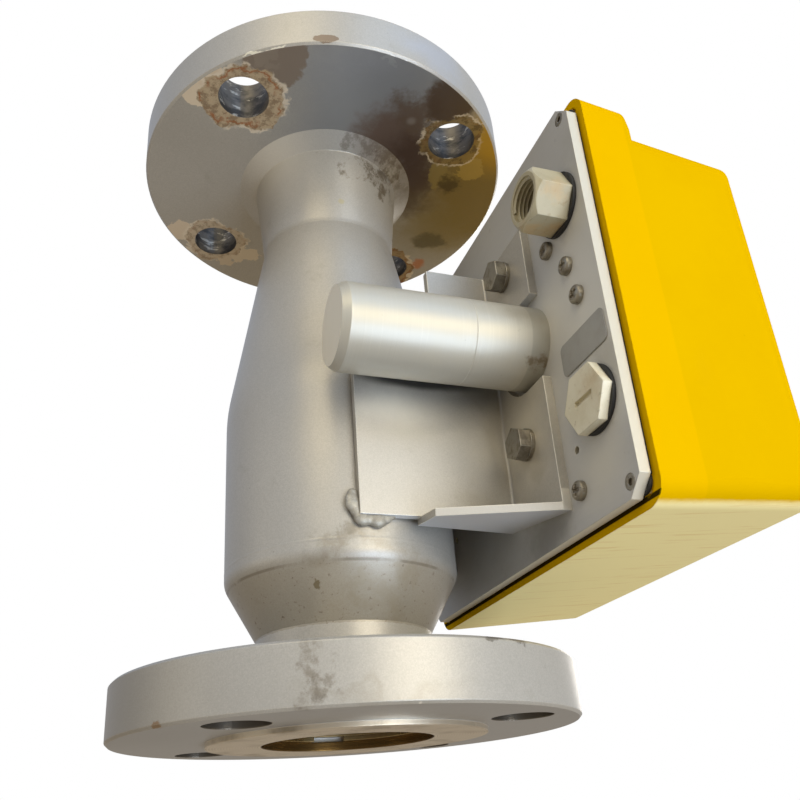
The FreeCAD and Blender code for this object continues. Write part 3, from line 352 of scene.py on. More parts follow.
def insideMask(surface, centre, radius):
    # 1 on the wall of a round hole along Z.
    tree = surface["tree"]
    sockets = {"Centre": tuple(value * mm for value in centre), "Across": (1, 1, 0)}
    hole = useGroup(tree, axisDistance, sockets)
    near = remap(tree, hole.outputs["Distance"], radius * mm, (radius + 0.2) * mm, 1.0, 0.0)
    return calc(tree, "MULTIPLY", near, hole.outputs["Inward"])


def marksAlong(surface, distance, pitch, wander=0.1):
    sockets = {"Distance": distance, "Pitch": pitch * mm, "Wander": wander * mm}
    return useGroup(surface["tree"], toolMarks, sockets).outputs["Marks"]


def facingMask(surface, direction, low, high):
    sockets = {"Direction": direction, "Low": low, "High": high}
    return useGroup(surface["tree"], facing, sockets).outputs["Mask"]


def addTurning(surface, axis, pitch, wander, depth):
    marks = marksAlong(surface, distanceFrom(surface, (0, 0, 0), axis), pitch, wander)
    addRelief(surface, calc(surface["tree"], "MULTIPLY", marks, depth * mm))


def addBrushing(surface, stretch, depth):
    streaks = useGroup(surface["tree"], brushing, {"Stretch": stretch}).outputs["Streaks"]
    addRelief(surface, calc(surface["tree"], "MULTIPLY", streaks, depth * mm))


def addPits(surface, scale, depth):
    addRelief(surface, calc(surface["tree"], "MULTIPLY", grimeMask(surface, scale, 0.3, 0.7), depth * mm))


def finish(surface, **sockets):
    tree = surface["tree"]
    shader = surface["shader"]
    if surface["height"] is not None:
        relief = {"Strength": 1.0, "Distance": 1.0, "Height": surface["height"]}
        bump = addNode(tree, "ShaderNodeBump", relief)
        join(tree, surface["normal"], bump.inputs["Normal"])
        surface["normal"] = bump.outputs[0]
    join(tree, surface["colour"], shader.inputs["Base Color"])
    join(tree, surface["roughness"], shader.inputs["Roughness"])
    join(tree, surface["metallic"], shader.inputs["Metallic"])
    join(tree, surface["normal"], shader.inputs["Normal"])
    for name, value in sockets.items():
        shader.inputs[name].default_value = value
    return surface["material"]


# Silver paint of the flanges, the tube and the brackets

silverPaint = {
    "colour": (182, 178, 169), "shade": (164, 160, 151), "glint": (204, 200, 190),
    "filmAndPaintedSheen": (138, 130, 114), "specks": (96, 86, 70), "roughness": 0.40, "metallic": 0.35,
    "coat": 0.12, "coatRoughness": 0.2, "flake": 0.30, "peel": 0.028, "peelSize": 4.5,
    "grain": 0.006, "grainSize": 0.45,
    "edge": 0.5, "edgeWearAndHighlight": (226, 221, 208), "edgeStrength": 0.45,
}
boltPlaces = [(-42.66, 42.66), (-42.66, -42.66), (42.66, 42.66), (42.66, -42.66)]
boltRings = [
    {"reach": 15.8, "ragged": 0.22, "bare": (188, 168, 136), "blotch": (128, 106, 80), "strength": 0.95,
     "rust": 0.85},
    {"reach": 13.2, "ragged": 0.26, "bare": (146, 124, 76), "blotch": (100, 82, 52), "strength": 0.75,
     "rust": 0.25},
    {"reach": 14.0, "ragged": 0.26, "bare": (198, 182, 156), "blotch": (150, 132, 108), "strength": 0.9,
     "rust": 0.25},
    {"reach": 14.4, "ragged": 0.26, "bare": (160, 132, 80), "blotch": (120, 90, 50), "strength": 0.85,
     "rust": 0.8},
]
ringRust = (150, 90, 46)
ringLip = (224, 210, 186)
boltHole = {
    "radius": 9.53, "colour": (116, 108, 96), "roughness": 0.45, "shade": (46, 42, 38),
    "streak": (214, 206, 190), "lowerColour": (112, 104, 92),
}
# Spots on the upper flange's lower face: where, how far and what colour, then how soft, ragged and strong.
# Besides stains and rust they hold painted shade, painted cool light and a painted reflection of the
# yellow cover.
undersideZ = 231
undersideStainsAndPaintedLight = [
    # Painted cool light: a bluish cast over the outer part of the lower face.
    {"centre": (-67, -2, undersideZ), "reach": 34, "colour": (172, 180, 200), "soft": 1.0,
     "ragged": 0.08, "strength": 0.7},
    # Painted shade over the middle of the lower face.
    {"centre": (-50, -6, undersideZ), "reach": 58, "colour": (138, 141, 144), "soft": 0.8,
     "ragged": 0.08, "strength": 0.9},
    # The next three are a painted reflection of the yellow cover, olive to yellow on the cover's side.
    {"centre": (-20, -74, undersideZ), "reach": 46, "colour": (132, 112, 54), "soft": 0.55,
     "ragged": 0.10, "strength": 0.9},
    {"centre": (-48, -62, undersideZ), "reach": 24, "colour": (196, 158, 56), "soft": 0.8,
     "ragged": 0.1, "strength": 0.9},
    {"centre": (10, -58, undersideZ), "reach": 30, "colour": (140, 122, 62), "soft": 0.8,
     "ragged": 0.12, "strength": 0.75},
    {"centre": (-60, 35, undersideZ), "reach": 12, "colour": (134, 120, 106), "soft": 0.10,
     "ragged": 0.3, "grain": 90, "strength": 0.9},
    {"centre": (-38, -20, undersideZ), "reach": 21, "colour": (110, 92, 82), "soft": 0.6, "ragged": 0.3,
     "strength": 0.95},
    {"centre": (-32, -31, undersideZ), "reach": 17, "colour": (82, 64, 56), "soft": 0.7, "ragged": 0.3,
     "strength": 0.95},
    {"centre": (-18, -34, undersideZ), "reach": 17, "colour": (84, 66, 58), "soft": 0.7, "ragged": 0.25,
     "strength": 0.95},
    {"centre": (-4, -37, undersideZ), "reach": 15, "colour": (98, 82, 62), "soft": 0.8, "ragged": 0.25,
     "strength": 0.85},
    {"centre": (-54, -24, undersideZ), "reach": 13, "colour": (106, 90, 78), "soft": 0.6, "ragged": 0.5,
     "grain": 160, "strength": 0.9},
    {"centre": (-63, -35, undersideZ), "reach": 13, "colour": (90, 74, 62), "soft": 0.4, "ragged": 0.35,
     "grain": 110, "strength": 0.95},
    {"centre": (-48.3, -23.5, undersideZ), "reach": 3, "colour": (146, 138, 132), "soft": 0.8,
     "ragged": 0.3, "strength": 0.7},
    {"centre": (-24, -47, undersideZ), "reach": 8, "colour": (158, 140, 88), "soft": 0.2, "ragged": 0.6,
     "grain": 200, "strength": 0.85},
    {"centre": (-30, -57, undersideZ), "reach": 6, "colour": (184, 160, 92), "soft": 0.15,
     "ragged": 0.6, "grain": 220, "strength": 0.85},
    {"centre": (-20, -51, undersideZ), "reach": 6, "colour": (76, 64, 40), "soft": 0.6, "ragged": 0.6,
     "grain": 220, "strength": 0.8},
    {"centre": (19, -55, undersideZ), "reach": 10, "stretch": (1.5, 0.8, 1), "colour": (98, 88, 50),
     "soft": 0.45, "ragged": 0.4, "grain": 130, "strength": 0.8},
    {"centre": (-41.5, 59.5, undersideZ), "reach": 7, "colour": (232, 216, 190), "soft": 0.08,
     "ragged": 0.35, "grain": 130, "strength": 0.95},
    {"centre": (-49, 56, undersideZ), "reach": 6, "colour": (226, 208, 182), "soft": 0.08,
     "ragged": 0.35, "grain": 130, "strength": 0.95},
    {"centre": (39, 59, undersideZ), "reach": 6, "colour": (220, 204, 180), "soft": 0.1, "ragged": 0.45,
     "grain": 130, "strength": 0.95},
    {"centre": (49, 29, undersideZ), "reach": 6, "colour": (212, 198, 174), "soft": 0.08, "ragged": 0.8,
     "grain": 150, "strength": 0.95},
    {"centre": (56, 36, undersideZ), "reach": 5, "colour": (208, 192, 168), "soft": 0.1, "ragged": 0.8,
     "grain": 150, "strength": 0.9},
    {"centre": (37.4, -56.3, undersideZ), "reach": 5, "colour": (186, 110, 50), "soft": 0.6,
     "ragged": 0.5, "strength": 0.8},
]
upperFlangeStainsAndPaintedLight = [
    {"centre": (-35, -8, 226), "reach": 11, "colour": (112, 102, 84), "soft": 0.7, "ragged": 1.0,
     "grain": 420, "strength": 0.8},
    {"centre": (-28, -22, 224), "reach": 13, "colour": (98, 86, 68), "soft": 0.7, "ragged": 0.9,
     "grain": 420, "strength": 0.85},
    {"centre": (-12, -32, 221), "reach": 11, "colour": (106, 94, 76), "soft": 0.9, "ragged": 0.7,
     "grain": 300, "strength": 0.6},
    {"centre": (-28, 1.2, 203.2), "reach": 1.8, "colour": (176, 166, 128), "soft": 0.7, "ragged": 0.8,
     "strength": 0.7},
    {"centre": (-74, 17.5, 233), "reach": 5, "stretch": (1, 1, 2.2), "colour": (132, 116, 98),
     "metal": 0.3, "soft": 0.08, "ragged": 0.3, "grain": 200},
    # The next two are painted highlights: bright streaks along the lower rim edge.
    {"centre": (-65.5, 38.7, 231), "reach": 9, "stretch": (1, 1, 16), "colour": (250, 246, 226),
     "soft": 0.2, "ragged": 0.2, "grain": 200, "strength": 0.8},
    {"centre": (-76, -6.6, 231), "reach": 6, "stretch": (1, 1, 16), "colour": (250, 250, 244),
     "soft": 0.2, "ragged": 0.2, "grain": 300, "strength": 0.8},
    {"centre": (-58.3, 58.3, 236), "reach": 2.6, "stretch": (1, 1, 0.7), "colour": (230, 230, 228),
     "soft": 0.1, "ragged": 0.9, "grain": 500, "strength": 0.8},
    {"centre": (-53.6, 61, 234), "reach": 2.0, "colour": (226, 226, 224), "soft": 0.1, "ragged": 0.9,
     "grain": 500, "strength": 0.8},
    # Painted cool light: a bluish cast on the outer rim.
    {"centre": (-72, -25, 240), "reach": 26, "stretch": (1, 1, 2), "colour": (176, 184, 198),
     "soft": 0.9, "ragged": 0.2, "strength": 0.5},
]
collarPaintedLight = [
    # Painted light: a soft lighter patch on the neck and collar.
    {"centre": (-22, 30, 228), "reach": 30, "colour": (236, 230, 214), "soft": 1.0, "ragged": 0.05,
     "strength": 0.7},
]
lowerFlangeStainsAndPaintedShade = [
    # Painted shade: a broad darker patch on the flange's side towards +Y.
    {"centre": (-22, 74, 8), "reach": 52, "colour": (132, 125, 110), "soft": 1.0, "ragged": 0.05,
     "strength": 0.6},
    {"centre": (-71.2, 27.2, 4.5), "reach": 5, "stretch": (1, 0.8, 1), "colour": (104, 94, 78),
     "soft": 0.9, "ragged": 0.8, "grain": 420, "strength": 0.75},
    {"centre": (-71, 27.4, 10), "reach": 6, "stretch": (1, 1.5, 0.9), "colour": (120, 110, 94),
     "soft": 0.9, "ragged": 0.8, "grain": 420, "strength": 0.6},
    {"centre": (-71, 28, 16.5), "reach": 4.5, "stretch": (1, 1, 1.3), "colour": (128, 120, 104),
     "soft": 0.9, "ragged": 0.8, "grain": 420, "strength": 0.5},
    {"centre": (-76, 12, 3), "reach": 30, "stretch": (1, 1, 6), "colour": (150, 142, 126), "soft": 0.95,
     "ragged": 0.3, "grain": 260, "strength": 0.35},
    {"centre": (-42, 63.6, 1.6), "reach": 2.6, "colour": (136, 112, 84), "soft": 0.3, "ragged": 0.4,
     "grain": 400},
    {"centre": (-76.2, 2, 1.2), "reach": 1.3, "colour": (250, 246, 232), "metal": 0.6, "rough": 0.2,
     "soft": 0.3},
    {"centre": (-69.7, -30.8, 19), "reach": 3, "stretch": (1, 0.6, 2), "colour": (108, 100, 90),
     "soft": 0.4, "ragged": 0.5, "grain": 500, "strength": 0.8},
    {"centre": (-72.8, -22, 19), "reach": 2.4, "stretch": (1, 0.5, 2), "colour": (104, 98, 88),
     "soft": 0.4, "ragged": 0.5, "grain": 500, "strength": 0.8},
]
tubeStains = [
    {"centre": (-31.8, 16.8, 43.9), "reach": 1.5, "stretch": (1, 1.5, 0.8), "colour": (92, 78, 44),
     "soft": 0.3, "ragged": 0.5, "grain": 420, "strength": 0.9},
    {"centre": (-31.4, 17.6, 46.2), "reach": 1.2, "stretch": (1, 2.2, 0.7), "colour": (98, 84, 50),
     "soft": 0.4, "ragged": 0.5, "grain": 500, "strength": 0.85},
    {"centre": (-35, -4, 42), "reach": 14, "colour": (150, 140, 118), "soft": 0.9, "ragged": 0.8,
     "grain": 260, "strength": 0.4},
    {"centre": (-38, -1, 53), "reach": 12, "stretch": (1, 0.7, 2.2), "colour": (146, 136, 116),
     "soft": 0.9, "ragged": 0.7, "grain": 200, "strength": 0.45},
    {"centre": (-37.5, 13, 54), "reach": 12, "stretch": (1, 0.7, 2.6), "colour": (140, 132, 116),
     "soft": 0.9, "ragged": 0.6, "grain": 200, "strength": 0.5},
    {"centre": (-19.7, 18.5, 178.4), "reach": 1.8, "colour": (136, 132, 120), "soft": 0.4,
     "strength": 0.8},
    {"centre": (-40, 8, 60), "reach": 4, "colour": (128, 120, 104), "soft": 0.6, "ragged": 0.6,
     "grain": 420, "strength": 0.6},
]
sealingFace = {
    "radius": 46.0, "step": 1.2, "colour": (224, 212, 190), "roughness": 0.38, "pitch": 0.9,
    "depth": 0.03, "cloud": (128, 112, 84), "groove": (92, 80, 60),
}
sealingFaceZ = {"lower": 0, "upper": 250}
flowBore = {"flange": 29.2, "tube": 38.6, "colour": (128, 100, 56), "roughness": 0.26}
lowerUnderside = {"colour": (140, 142, 144), "roughness": 0.36, "metallic": 0.5, "strength": 0.55}
reducerFilm = {
    "top": 51.5, "colour": (146, 134, 110), "strength": 0.42, "specks": (92, 66, 46), "creaseZ": 50.4,
    "crease": (112, 102, 84),
}


def silverSurface(name, stainsAndLight, base=silverPaint):
    surface = newSurface(name, base["colour"], base["roughness"], base["metallic"])
    tree = surface["tree"]
    glitter = useGroup(tree, flakes, {"Size": base["flake"] * mm})
    layer(surface, grimeMask(surface, 16, 0.38, 0.72), base["shade"], strength=0.45)
    layer(surface, glitter.outputs["Shade"], base["shade"], strength=0.75)
    layer(surface, glitter.outputs["Glint"], base["glint"], 0.32, strength=0.3)
    layer(surface, grimeMask(surface, 90, 0.60, 0.78), base["filmAndPaintedSheen"], 0.55, strength=0.3)
    layer(surface, grimeMask(surface, 520, 0.70, 0.76), base["specks"], 0.7, strength=0.6)
    addStains(surface, stainsAndLight)
    # Painted highlight along the edges, partly worn paint.
    breakEdges(surface, base["edge"], base["edgeWearAndHighlight"], 0.28, strength=base["edgeStrength"])
    sockets = {"PeelSize": base["peelSize"] * mm, "Peel": base["peel"] * mm,
               "GrainSize": base["grainSize"] * mm, "Grain": base["grain"] * mm}
    addRelief(surface, useGroup(tree, skin, sockets).outputs["Height"])
    return surface


def finishSilver(surface):
    return finish(surface, **{"Coat Weight": silverPaint["coat"],
                              "Coat Roughness": silverPaint["coatRoughness"]})


def stainBore(surface, radius):
    wall = insideMask(surface, (0, 0, 0), radius)
    layer(surface, wall, flowBore["colour"], flowBore["roughness"], 0.9)


def machinedEnds(surface, faceZ):
    # The bare sealing face with its concentric grooves, and the stained bore.
    tree = surface["tree"]
    out = distanceFrom(surface, (0, 0, 0), (1, 1, 0))
    near = distanceFrom(surface, (0, 0, faceZ), (0, 0, 1))
    radius, step = sealingFace["radius"], sealingFace["step"]
    faceMask = calc(tree, "MULTIPLY", remap(tree, out, radius * mm, (radius + 0.3) * mm, 1.0, 0.0),
                    remap(tree, near, step * mm, (step + 0.6) * mm, 1.0, 0.0))
    layer(surface, faceMask, sealingFace["colour"], sealingFace["roughness"], 0.9)
    cloud = calc(tree, "MULTIPLY", faceMask, grimeMask(surface, 60, 0.45, 0.7))
    layer(surface, cloud, sealingFace["cloud"], 0.5, strength=0.6)
    grooves = marksAlong(surface, out, sealingFace["pitch"], 0.05)
    cut = calc(tree, "MULTIPLY", grooves, faceMask)
    addRelief(surface, calc(tree, "MULTIPLY", cut, sealingFace["depth"] * mm))
    dark = calc(tree, "MULTIPLY", faceMask, remap(tree, grooves, 0.2, 0.0))
    layer(surface, dark, sealingFace["groove"], strength=0.75)
    stainBore(surface, flowBore["flange"])


def holeWall(surface, x, y):
    tree = surface["tree"]
    wall = insideMask(surface, (x, y, 0), boltHole["radius"])
    layer(surface, wall, boltHole["colour"], boltHole["roughness"], 0.3)
    # Painted shade: darker patches inside the hole. Painted reflection: pale streaks along the wall.
    shade = calc(tree, "MULTIPLY", wall, grimeMask(surface, 90, 0.40, 0.60, (1, 1, 1.8)))
    layer(surface, shade, boltHole["shade"], 0.5, strength=0.9)
    streak = calc(tree, "MULTIPLY", wall, grimeMask(surface, 120, 0.56, 0.64, (1, 1, 2.6)))
    layer(surface, streak, boltHole["streak"], 0.35, strength=0.75)


def upperFlangeFinish():
    surface = silverSurface("upperFlangePaint", upperFlangeStainsAndPaintedLight)
    tree = surface["tree"]
    under = facingMask(surface, (0, 0, -1), 0.80, 0.93)
    addStains(surface, undersideStainsAndPaintedLight, under)
    addStains(surface, collarPaintedLight, calc(tree, "SUBTRACT", 1.0, under))
    for (x, y), ring in zip(boltPlaces, boltRings):
        sockets = {"Centre": (x * mm, y * mm, undersideZ * mm), "Reach": ring["reach"] * mm,
                   "Raggedness": ring["ragged"]}
        rubbed = useGroup(tree, boltRing, sockets)
        bare = calc(tree, "MULTIPLY", rubbed.outputs["Bare"], under)
        blotches = calc(tree, "MULTIPLY", bare, rubbed.outputs["Blotches"])
        lip = calc(tree, "MULTIPLY", rubbed.outputs["Lip"], under)
        rust = calc(tree, "MULTIPLY", rubbed.outputs["Rust"], under)
        layer(surface, lip, ringLip, 0.55, 0.0, 0.8)
        layer(surface, bare, ring["bare"], 0.5, 0.2, ring["strength"])
        layer(surface, blotches, ring["blotch"], 0.6, 0.1, 0.8)
        layer(surface, rust, ringRust, 0.75, 0.0, ring["rust"])
        holeWall(surface, x, y)
    machinedEnds(surface, sealingFaceZ["upper"])
    return finishSilver(surface)


def lowerFlangeFinish():
    surface = silverSurface("lowerFlangePaint", lowerFlangeStainsAndPaintedShade)
    under = facingMask(surface, (0, 0, -1), 0.7, 0.95)
    layer(surface, under, *lowerUnderside.values())
    for x, y in boltPlaces:
        wall = insideMask(surface, (x, y, 0), boltHole["radius"])
        layer(surface, wall, boltHole["lowerColour"], 0.35, 0.8)
    machinedEnds(surface, sealingFaceZ["lower"])
    return finishSilver(surface)


def tubeFinish():
    surface = silverSurface("tubePaint", tubeStains)
    tree = surface["tree"]
    height = distanceFrom(surface, (0, 0, 0), (0, 0, 1))
    filmAndPaintedSheen = remap(tree, height, (reducerFilm["top"] - 3) * mm, (reducerFilm["top"] + 2) * mm, 1.0, 0.0)
    layer(surface, filmAndPaintedSheen, reducerFilm["colour"], 0.34, strength=reducerFilm["strength"])
    specks = calc(tree, "MULTIPLY", filmAndPaintedSheen, grimeMask(surface, 640, 0.60, 0.70))
    layer(surface, specks, reducerFilm["specks"], 0.6, strength=0.55)
    crease = distanceFrom(surface, (0, 0, reducerFilm["creaseZ"]), (0, 0, 1))
    crease = remap(tree, crease, 0.2 * mm, 0.6 * mm, 1.0, 0.0)
    crease = calc(tree, "MULTIPLY", crease, grimeMask(surface, 40, 0.40, 0.55))
    layer(surface, crease, reducerFilm["crease"], strength=0.6)
    stainBore(surface, flowBore["tube"])
    return finishSilver(surface)


bracketStainsAndPaintedLight = [
    {"centre": (-44, -38, 70), "reach": 12, "colour": (150, 140, 120), "soft": 0.8, "ragged": 0.6,
     "strength": 0.35},
    {"centre": (-62, -50, 78), "reach": 9, "colour": (120, 110, 92), "soft": 0.7, "ragged": 0.5,
     "strength": 0.5},
    {"centre": (-44, -20, 100), "reach": 20, "colour": (168, 164, 150), "soft": 0.9, "ragged": 0.7,
     "strength": 0.3},
    # Painted light on the web just below the housing.
    {"centre": (-44, -8, 103), "reach": 15, "stretch": (1, 0.6, 1.5), "colour": (250, 246, 232),
     "soft": 1.0, "ragged": 0.1, "strength": 0.7},
    # Painted shadow of the housing on the web.
    {"centre": (-44, -40, 112), "reach": 10, "stretch": (1, 0.5, 1), "colour": (96, 93, 84),
     "soft": 0.9, "ragged": 0.1, "strength": 0.6},
    # Painted light inside the bracket around its flange.
    {"centre": (-58, -50, 92), "reach": 28, "colour": (236, 228, 206), "soft": 1.0, "ragged": 0.1,
     "strength": 0.8},
    # Painted contact shadow: a narrow dark band where the housing meets the web.
    {"centre": (-44, -18, 114), "reach": 4.6, "stretch": (1, 0.16, 1), "colour": (40, 42, 42),
     "soft": 0.6, "ragged": 0.06, "strength": 0.9},
]
# The bracket's bright edge colour is a painted highlight along the sheet edges, partly worn paint.
bracketBase = dict(silverPaint, edge=0.4, edgeWearAndHighlight=(250, 246, 232), edgeStrength=0.85)
bracketLipPaintedLight = {"top": 64, "front": (236, 232, 220), "under": (226, 229, 234)}


def bracketFinish():
    surface = silverSurface("bracketPaint", bracketStainsAndPaintedLight, bracketBase)
    tree = surface["tree"]
    height = distanceFrom(surface, (0, 0, 0), (0, 0, 1))
    # Painted light on the front of the lower lip and on every downward face.
    low = remap(tree, height, (bracketLipPaintedLight["top"] - 0.8) * mm, bracketLipPaintedLight["top"] * mm, 1.0, 0.0)
    front = calc(tree, "MULTIPLY", low, facingMask(surface, (-1, 0, 0), 0.7, 0.9))
    layer(surface, front, bracketLipPaintedLight["front"], strength=0.6)
    layer(surface, facingMask(surface, (0, 0, -1), 0.7, 0.95), bracketLipPaintedLight["under"], strength=0.85)
    return finishSilver(surface)


weldBase = dict(silverPaint, colour=(172, 168, 157), shade=(154, 150, 138), roughness=0.48, edge=0.2,
                dirt=(128, 122, 110))


def weldFinish():
    surface = silverSurface("weldPaint", [], weldBase)
    layer(surface, grimeMask(surface, 260, 0.46, 0.60), weldBase["dirt"], 0.6, strength=0.5)
    return finish(surface)


# Metals

def steelSurface(name, look):
    surface = newSurface(name, look["colour"], look["roughness"], 1.0)
    dirty = grimeMask(surface, look["dirtScale"], 0.42, 0.68)
    layer(surface, dirty, look["dirt"], look["roughness"] + 0.25, look["dirtMetal"], look["dirtAmount"])
    return surface


guideSteel = {
    "colour": (176, 156, 112), "roughness": 0.26, "dirt": (112, 84, 44), "dirtMetal": 0.7,
    "dirtAmount": 0.75, "dirtScale": 70, "specks": (70, 54, 34), "edge": (214, 196, 150),
}


def guideFinish():
    surface = steelSurface("stainedSteel", guideSteel)
    layer(surface, grimeMask(surface, 300, 0.6, 0.72), guideSteel["specks"], 0.6, 0.3, 0.7)
    addTurning(surface, (0, 0, 1), 0.35, 0.1, 0.004)
    breakEdges(surface, 0.3, guideSteel["edge"], 0.2, 1.0, 0.6)
    return finish(surface)


floatSteel = {
    "colour": (196, 194, 190), "roughness": 0.2, "dirt": (150, 140, 120), "dirtMetal": 0.9,
    "dirtAmount": 0.4, "dirtScale": 120,
}


def floatFinish():
    surface = steelSurface("floatSteel", floatSteel)
    addTurning(surface, (0, 0, 1), 0.3, 0.05, 0.005)
    breakEdges(surface, 0.3)
    return finish(surface)


sinteredMagnet = {
    "colour": (86, 86, 90), "roughness": 0.5, "dirt": (60, 60, 62), "dirtMetal": 0.7,
    "dirtAmount": 0.6, "dirtScale": 400, "edge": (130, 130, 132),
}


def magnetFinish():
    surface = steelSurface("sinteredMagnet", sinteredMagnet)
    breakEdges(surface, 0.3, sinteredMagnet["edge"], 0.4, 1.0, 0.5)
    return finish(surface)


fastenerZinc = {
    "colour": (158, 152, 138), "roughness": 0.42, "dirt": (96, 84, 66), "dirtMetal": 0.35,
    "dirtAmount": 0.7, "dirtScale": 240, "specks": (70, 56, 42), "edge": (206, 200, 186),
}


def fastenerFinish():
    surface = steelSurface("dullZinc", fastenerZinc)
    layer(surface, grimeMask(surface, 900, 0.60, 0.70), fastenerZinc["specks"], 0.8, 0.1, 0.8)
    breakEdges(surface, 0.45, fastenerZinc["edge"], 0.3, 1.0, 0.55)
    addPits(surface, 700, 0.02)
    return finish(surface)


backPlate = {
    "colour": (188, 187, 183), "roughness": 0.50, "metallic": 0.25, "brushed": (194, 193, 189),
    "dirt": (166, 163, 152), "filmAndPaintedSheen": (112, 106, 94), "specks": (84, 78, 66),
    "milled": (202, 196, 178), "edge": (226, 221, 206),
}
plateStainsAndPaintedLight = [
    # The next two are painted light: the plate lighter around and beside the housing.
    {"centre": (-98, -51.5, 112), "reach": 56, "colour": (218, 215, 204), "soft": 1.0, "ragged": 0.05,
     "strength": 0.7},
    {"centre": (-75, -51.5, 121), "reach": 16, "colour": (236, 231, 214), "soft": 1.0, "ragged": 0.05,
     "strength": 0.7},
    {"centre": (-100, -51.5, 90), "reach": 12, "colour": (128, 122, 108), "soft": 0.9, "ragged": 0.6,
     "strength": 0.3},
    # Painted light on the lower part of the plate.
    {"centre": (-92, -51.5, 64), "reach": 20, "colour": (214, 209, 192), "soft": 1.0, "ragged": 0.1,
     "strength": 0.6},
    # Painted shade: the plate darker low down towards the tube.
    {"centre": (-60, -51.5, 56), "reach": 20, "colour": (120, 117, 110), "soft": 0.9, "ragged": 0.3,
     "strength": 0.6},
]


def plateFinish():
    surface = newSurface("backPlateAluminium", backPlate["colour"], backPlate["roughness"],
                         backPlate["metallic"])
    tree = surface["tree"]
    streaks = useGroup(tree, brushing, {"Stretch": (60, 60, 900)}).outputs["Streaks"]
    layer(surface, remap(tree, streaks, 0.35, 0.7), backPlate["brushed"], 0.54, strength=0.35)
    layer(surface, grimeMask(surface, 26, 0.42, 0.74), backPlate["dirt"], 0.6, strength=0.35)
    layer(surface, grimeMask(surface, 240, 0.66, 0.76), backPlate["filmAndPaintedSheen"], 0.6, strength=0.4)
    layer(surface, grimeMask(surface, 900, 0.70, 0.76), backPlate["specks"], 0.7, strength=0.5)
    addStains(surface, plateStainsAndPaintedLight)
    side = calc(tree, "SUBTRACT", 1.0, facingMask(surface, (0, 1, 0), 0.4, 0.7))
    side = calc(tree, "MULTIPLY", side, facingMask(surface, (0, -1, 0), 0.7, 0.4))
    layer(surface, side, backPlate["milled"], 0.42, 0.3)
    breakEdges(surface, 0.3, backPlate["edge"], 0.35, 0.5, 0.4)
    addRelief(surface, calc(tree, "MULTIPLY", streaks, 0.004 * mm))
    return finish(surface)


housingTurned = {
    "colour": (190, 187, 175), "roughness": 0.40, "metallic": 0.3, "pitch": 0.22,
    "turned": (182, 179, 166), "bright": (208, 203, 190), "dull": (176, 172, 160),
    "cloud": (190, 184, 166), "filmAndPaintedSheen": (104, 94, 76), "specks": (60, 54, 46),
    "band": (150, 148, 138), "bandPlace": -48.5, "bandHalf": 3.0, "end": (238, 226, 196),
    "edge": (236, 232, 220),
}
housingStains = [
    {"centre": (-74.5, -49.5, 107), "reach": 5, "stretch": (1, 0.8, 1), "colour": (112, 94, 66),
     "soft": 0.8, "ragged": 0.8, "grain": 420, "metal": 0.2, "rough": 0.6, "strength": 0.8},
    {"centre": (-76, -44, 122), "reach": 9, "colour": (150, 140, 120), "soft": 0.9, "ragged": 0.5,
     "strength": 0.4},
]


def housingFinish():
    surface = newSurface("turnedAluminium", housingTurned["colour"], housingTurned["roughness"],
                         housingTurned["metallic"])
    tree = surface["tree"]
    marks = marksAlong(surface, distanceFrom(surface, (0, 0, 0), (0, 1, 0)), housingTurned["pitch"], 0.05)
    layer(surface, marks, housingTurned["turned"], strength=0.5)
    scratches = useGroup(tree, brushing, {"Stretch": (30, 2600, 30)}).outputs["Streaks"]
    layer(surface, remap(tree, scratches, 0.55, 0.72), housingTurned["bright"], 0.3, strength=0.3)
    layer(surface, remap(tree, scratches, 0.42, 0.28), housingTurned["dull"], 0.45, strength=0.3)
    layer(surface, grimeMask(surface, 60, 0.45, 0.72), housingTurned["cloud"], 0.48, strength=0.4)
    away = distanceFrom(surface, (0, housingTurned["bandPlace"], 0), (0, 1, 0))
    half = housingTurned["bandHalf"]
    band = remap(tree, away, half * mm, (half + 0.6) * mm, 1.0, 0.0)
    layer(surface, band, housingTurned["band"], 0.45, strength=0.55)
    layer(surface, grimeMask(surface, 420, 0.68, 0.76), housingTurned["filmAndPaintedSheen"], 0.6, 0.3, 0.6)
    layer(surface, grimeMask(surface, 1100, 0.72, 0.78), housingTurned["specks"], 0.7, 0.1, 0.7)
    # Painted reflection: the end face, facing +Y, turned a warm cream.
    end = facingMask(surface, (0, 1, 0), 0.75, 0.95)
    layer(surface, end, housingTurned["end"], strength=0.85)
    addStains(surface, housingStains)
    breakEdges(surface, 0.35, housingTurned["edge"], 0.3, 0.8, 0.6)
    addRelief(surface, calc(tree, "MULTIPLY", marks, 0.0012 * mm))
    return finish(surface)


innerAluminium = {
    "colour": (200, 200, 198), "roughness": 0.28, "dirt": (170, 168, 160), "dirtMetal": 0.9,
    "dirtAmount": 0.4, "dirtScale": 120,
}


def innerAluminiumFinish():
    surface = steelSurface("innerAluminium", innerAluminium)
    addBrushing(surface, (800, 800, 60), 0.01)
    breakEdges(surface, 0.25)
    return finish(surface)


turnedBrass = {
    "colour": (198, 158, 86), "roughness": 0.26, "dirt": (140, 104, 52), "dirtMetal": 0.8,
    "dirtAmount": 0.45, "dirtScale": 120, "edge": (226, 196, 130),
}


def brassFinish():
    surface = steelSurface("turnedBrass", turnedBrass)
    addTurning(surface, (0, 1, 0), 0.25, 0.05, 0.004)
    breakEdges(surface, 0.25, turnedBrass["edge"], 0.2, 1.0, 0.5)
    return finish(surface)


windowSteel = {
    "colour": (128, 128, 126), "roughness": 0.38, "dirt": (100, 98, 92), "dirtMetal": 0.8,
    "dirtAmount": 0.5, "dirtScale": 90, "edge": (176, 175, 170),
}


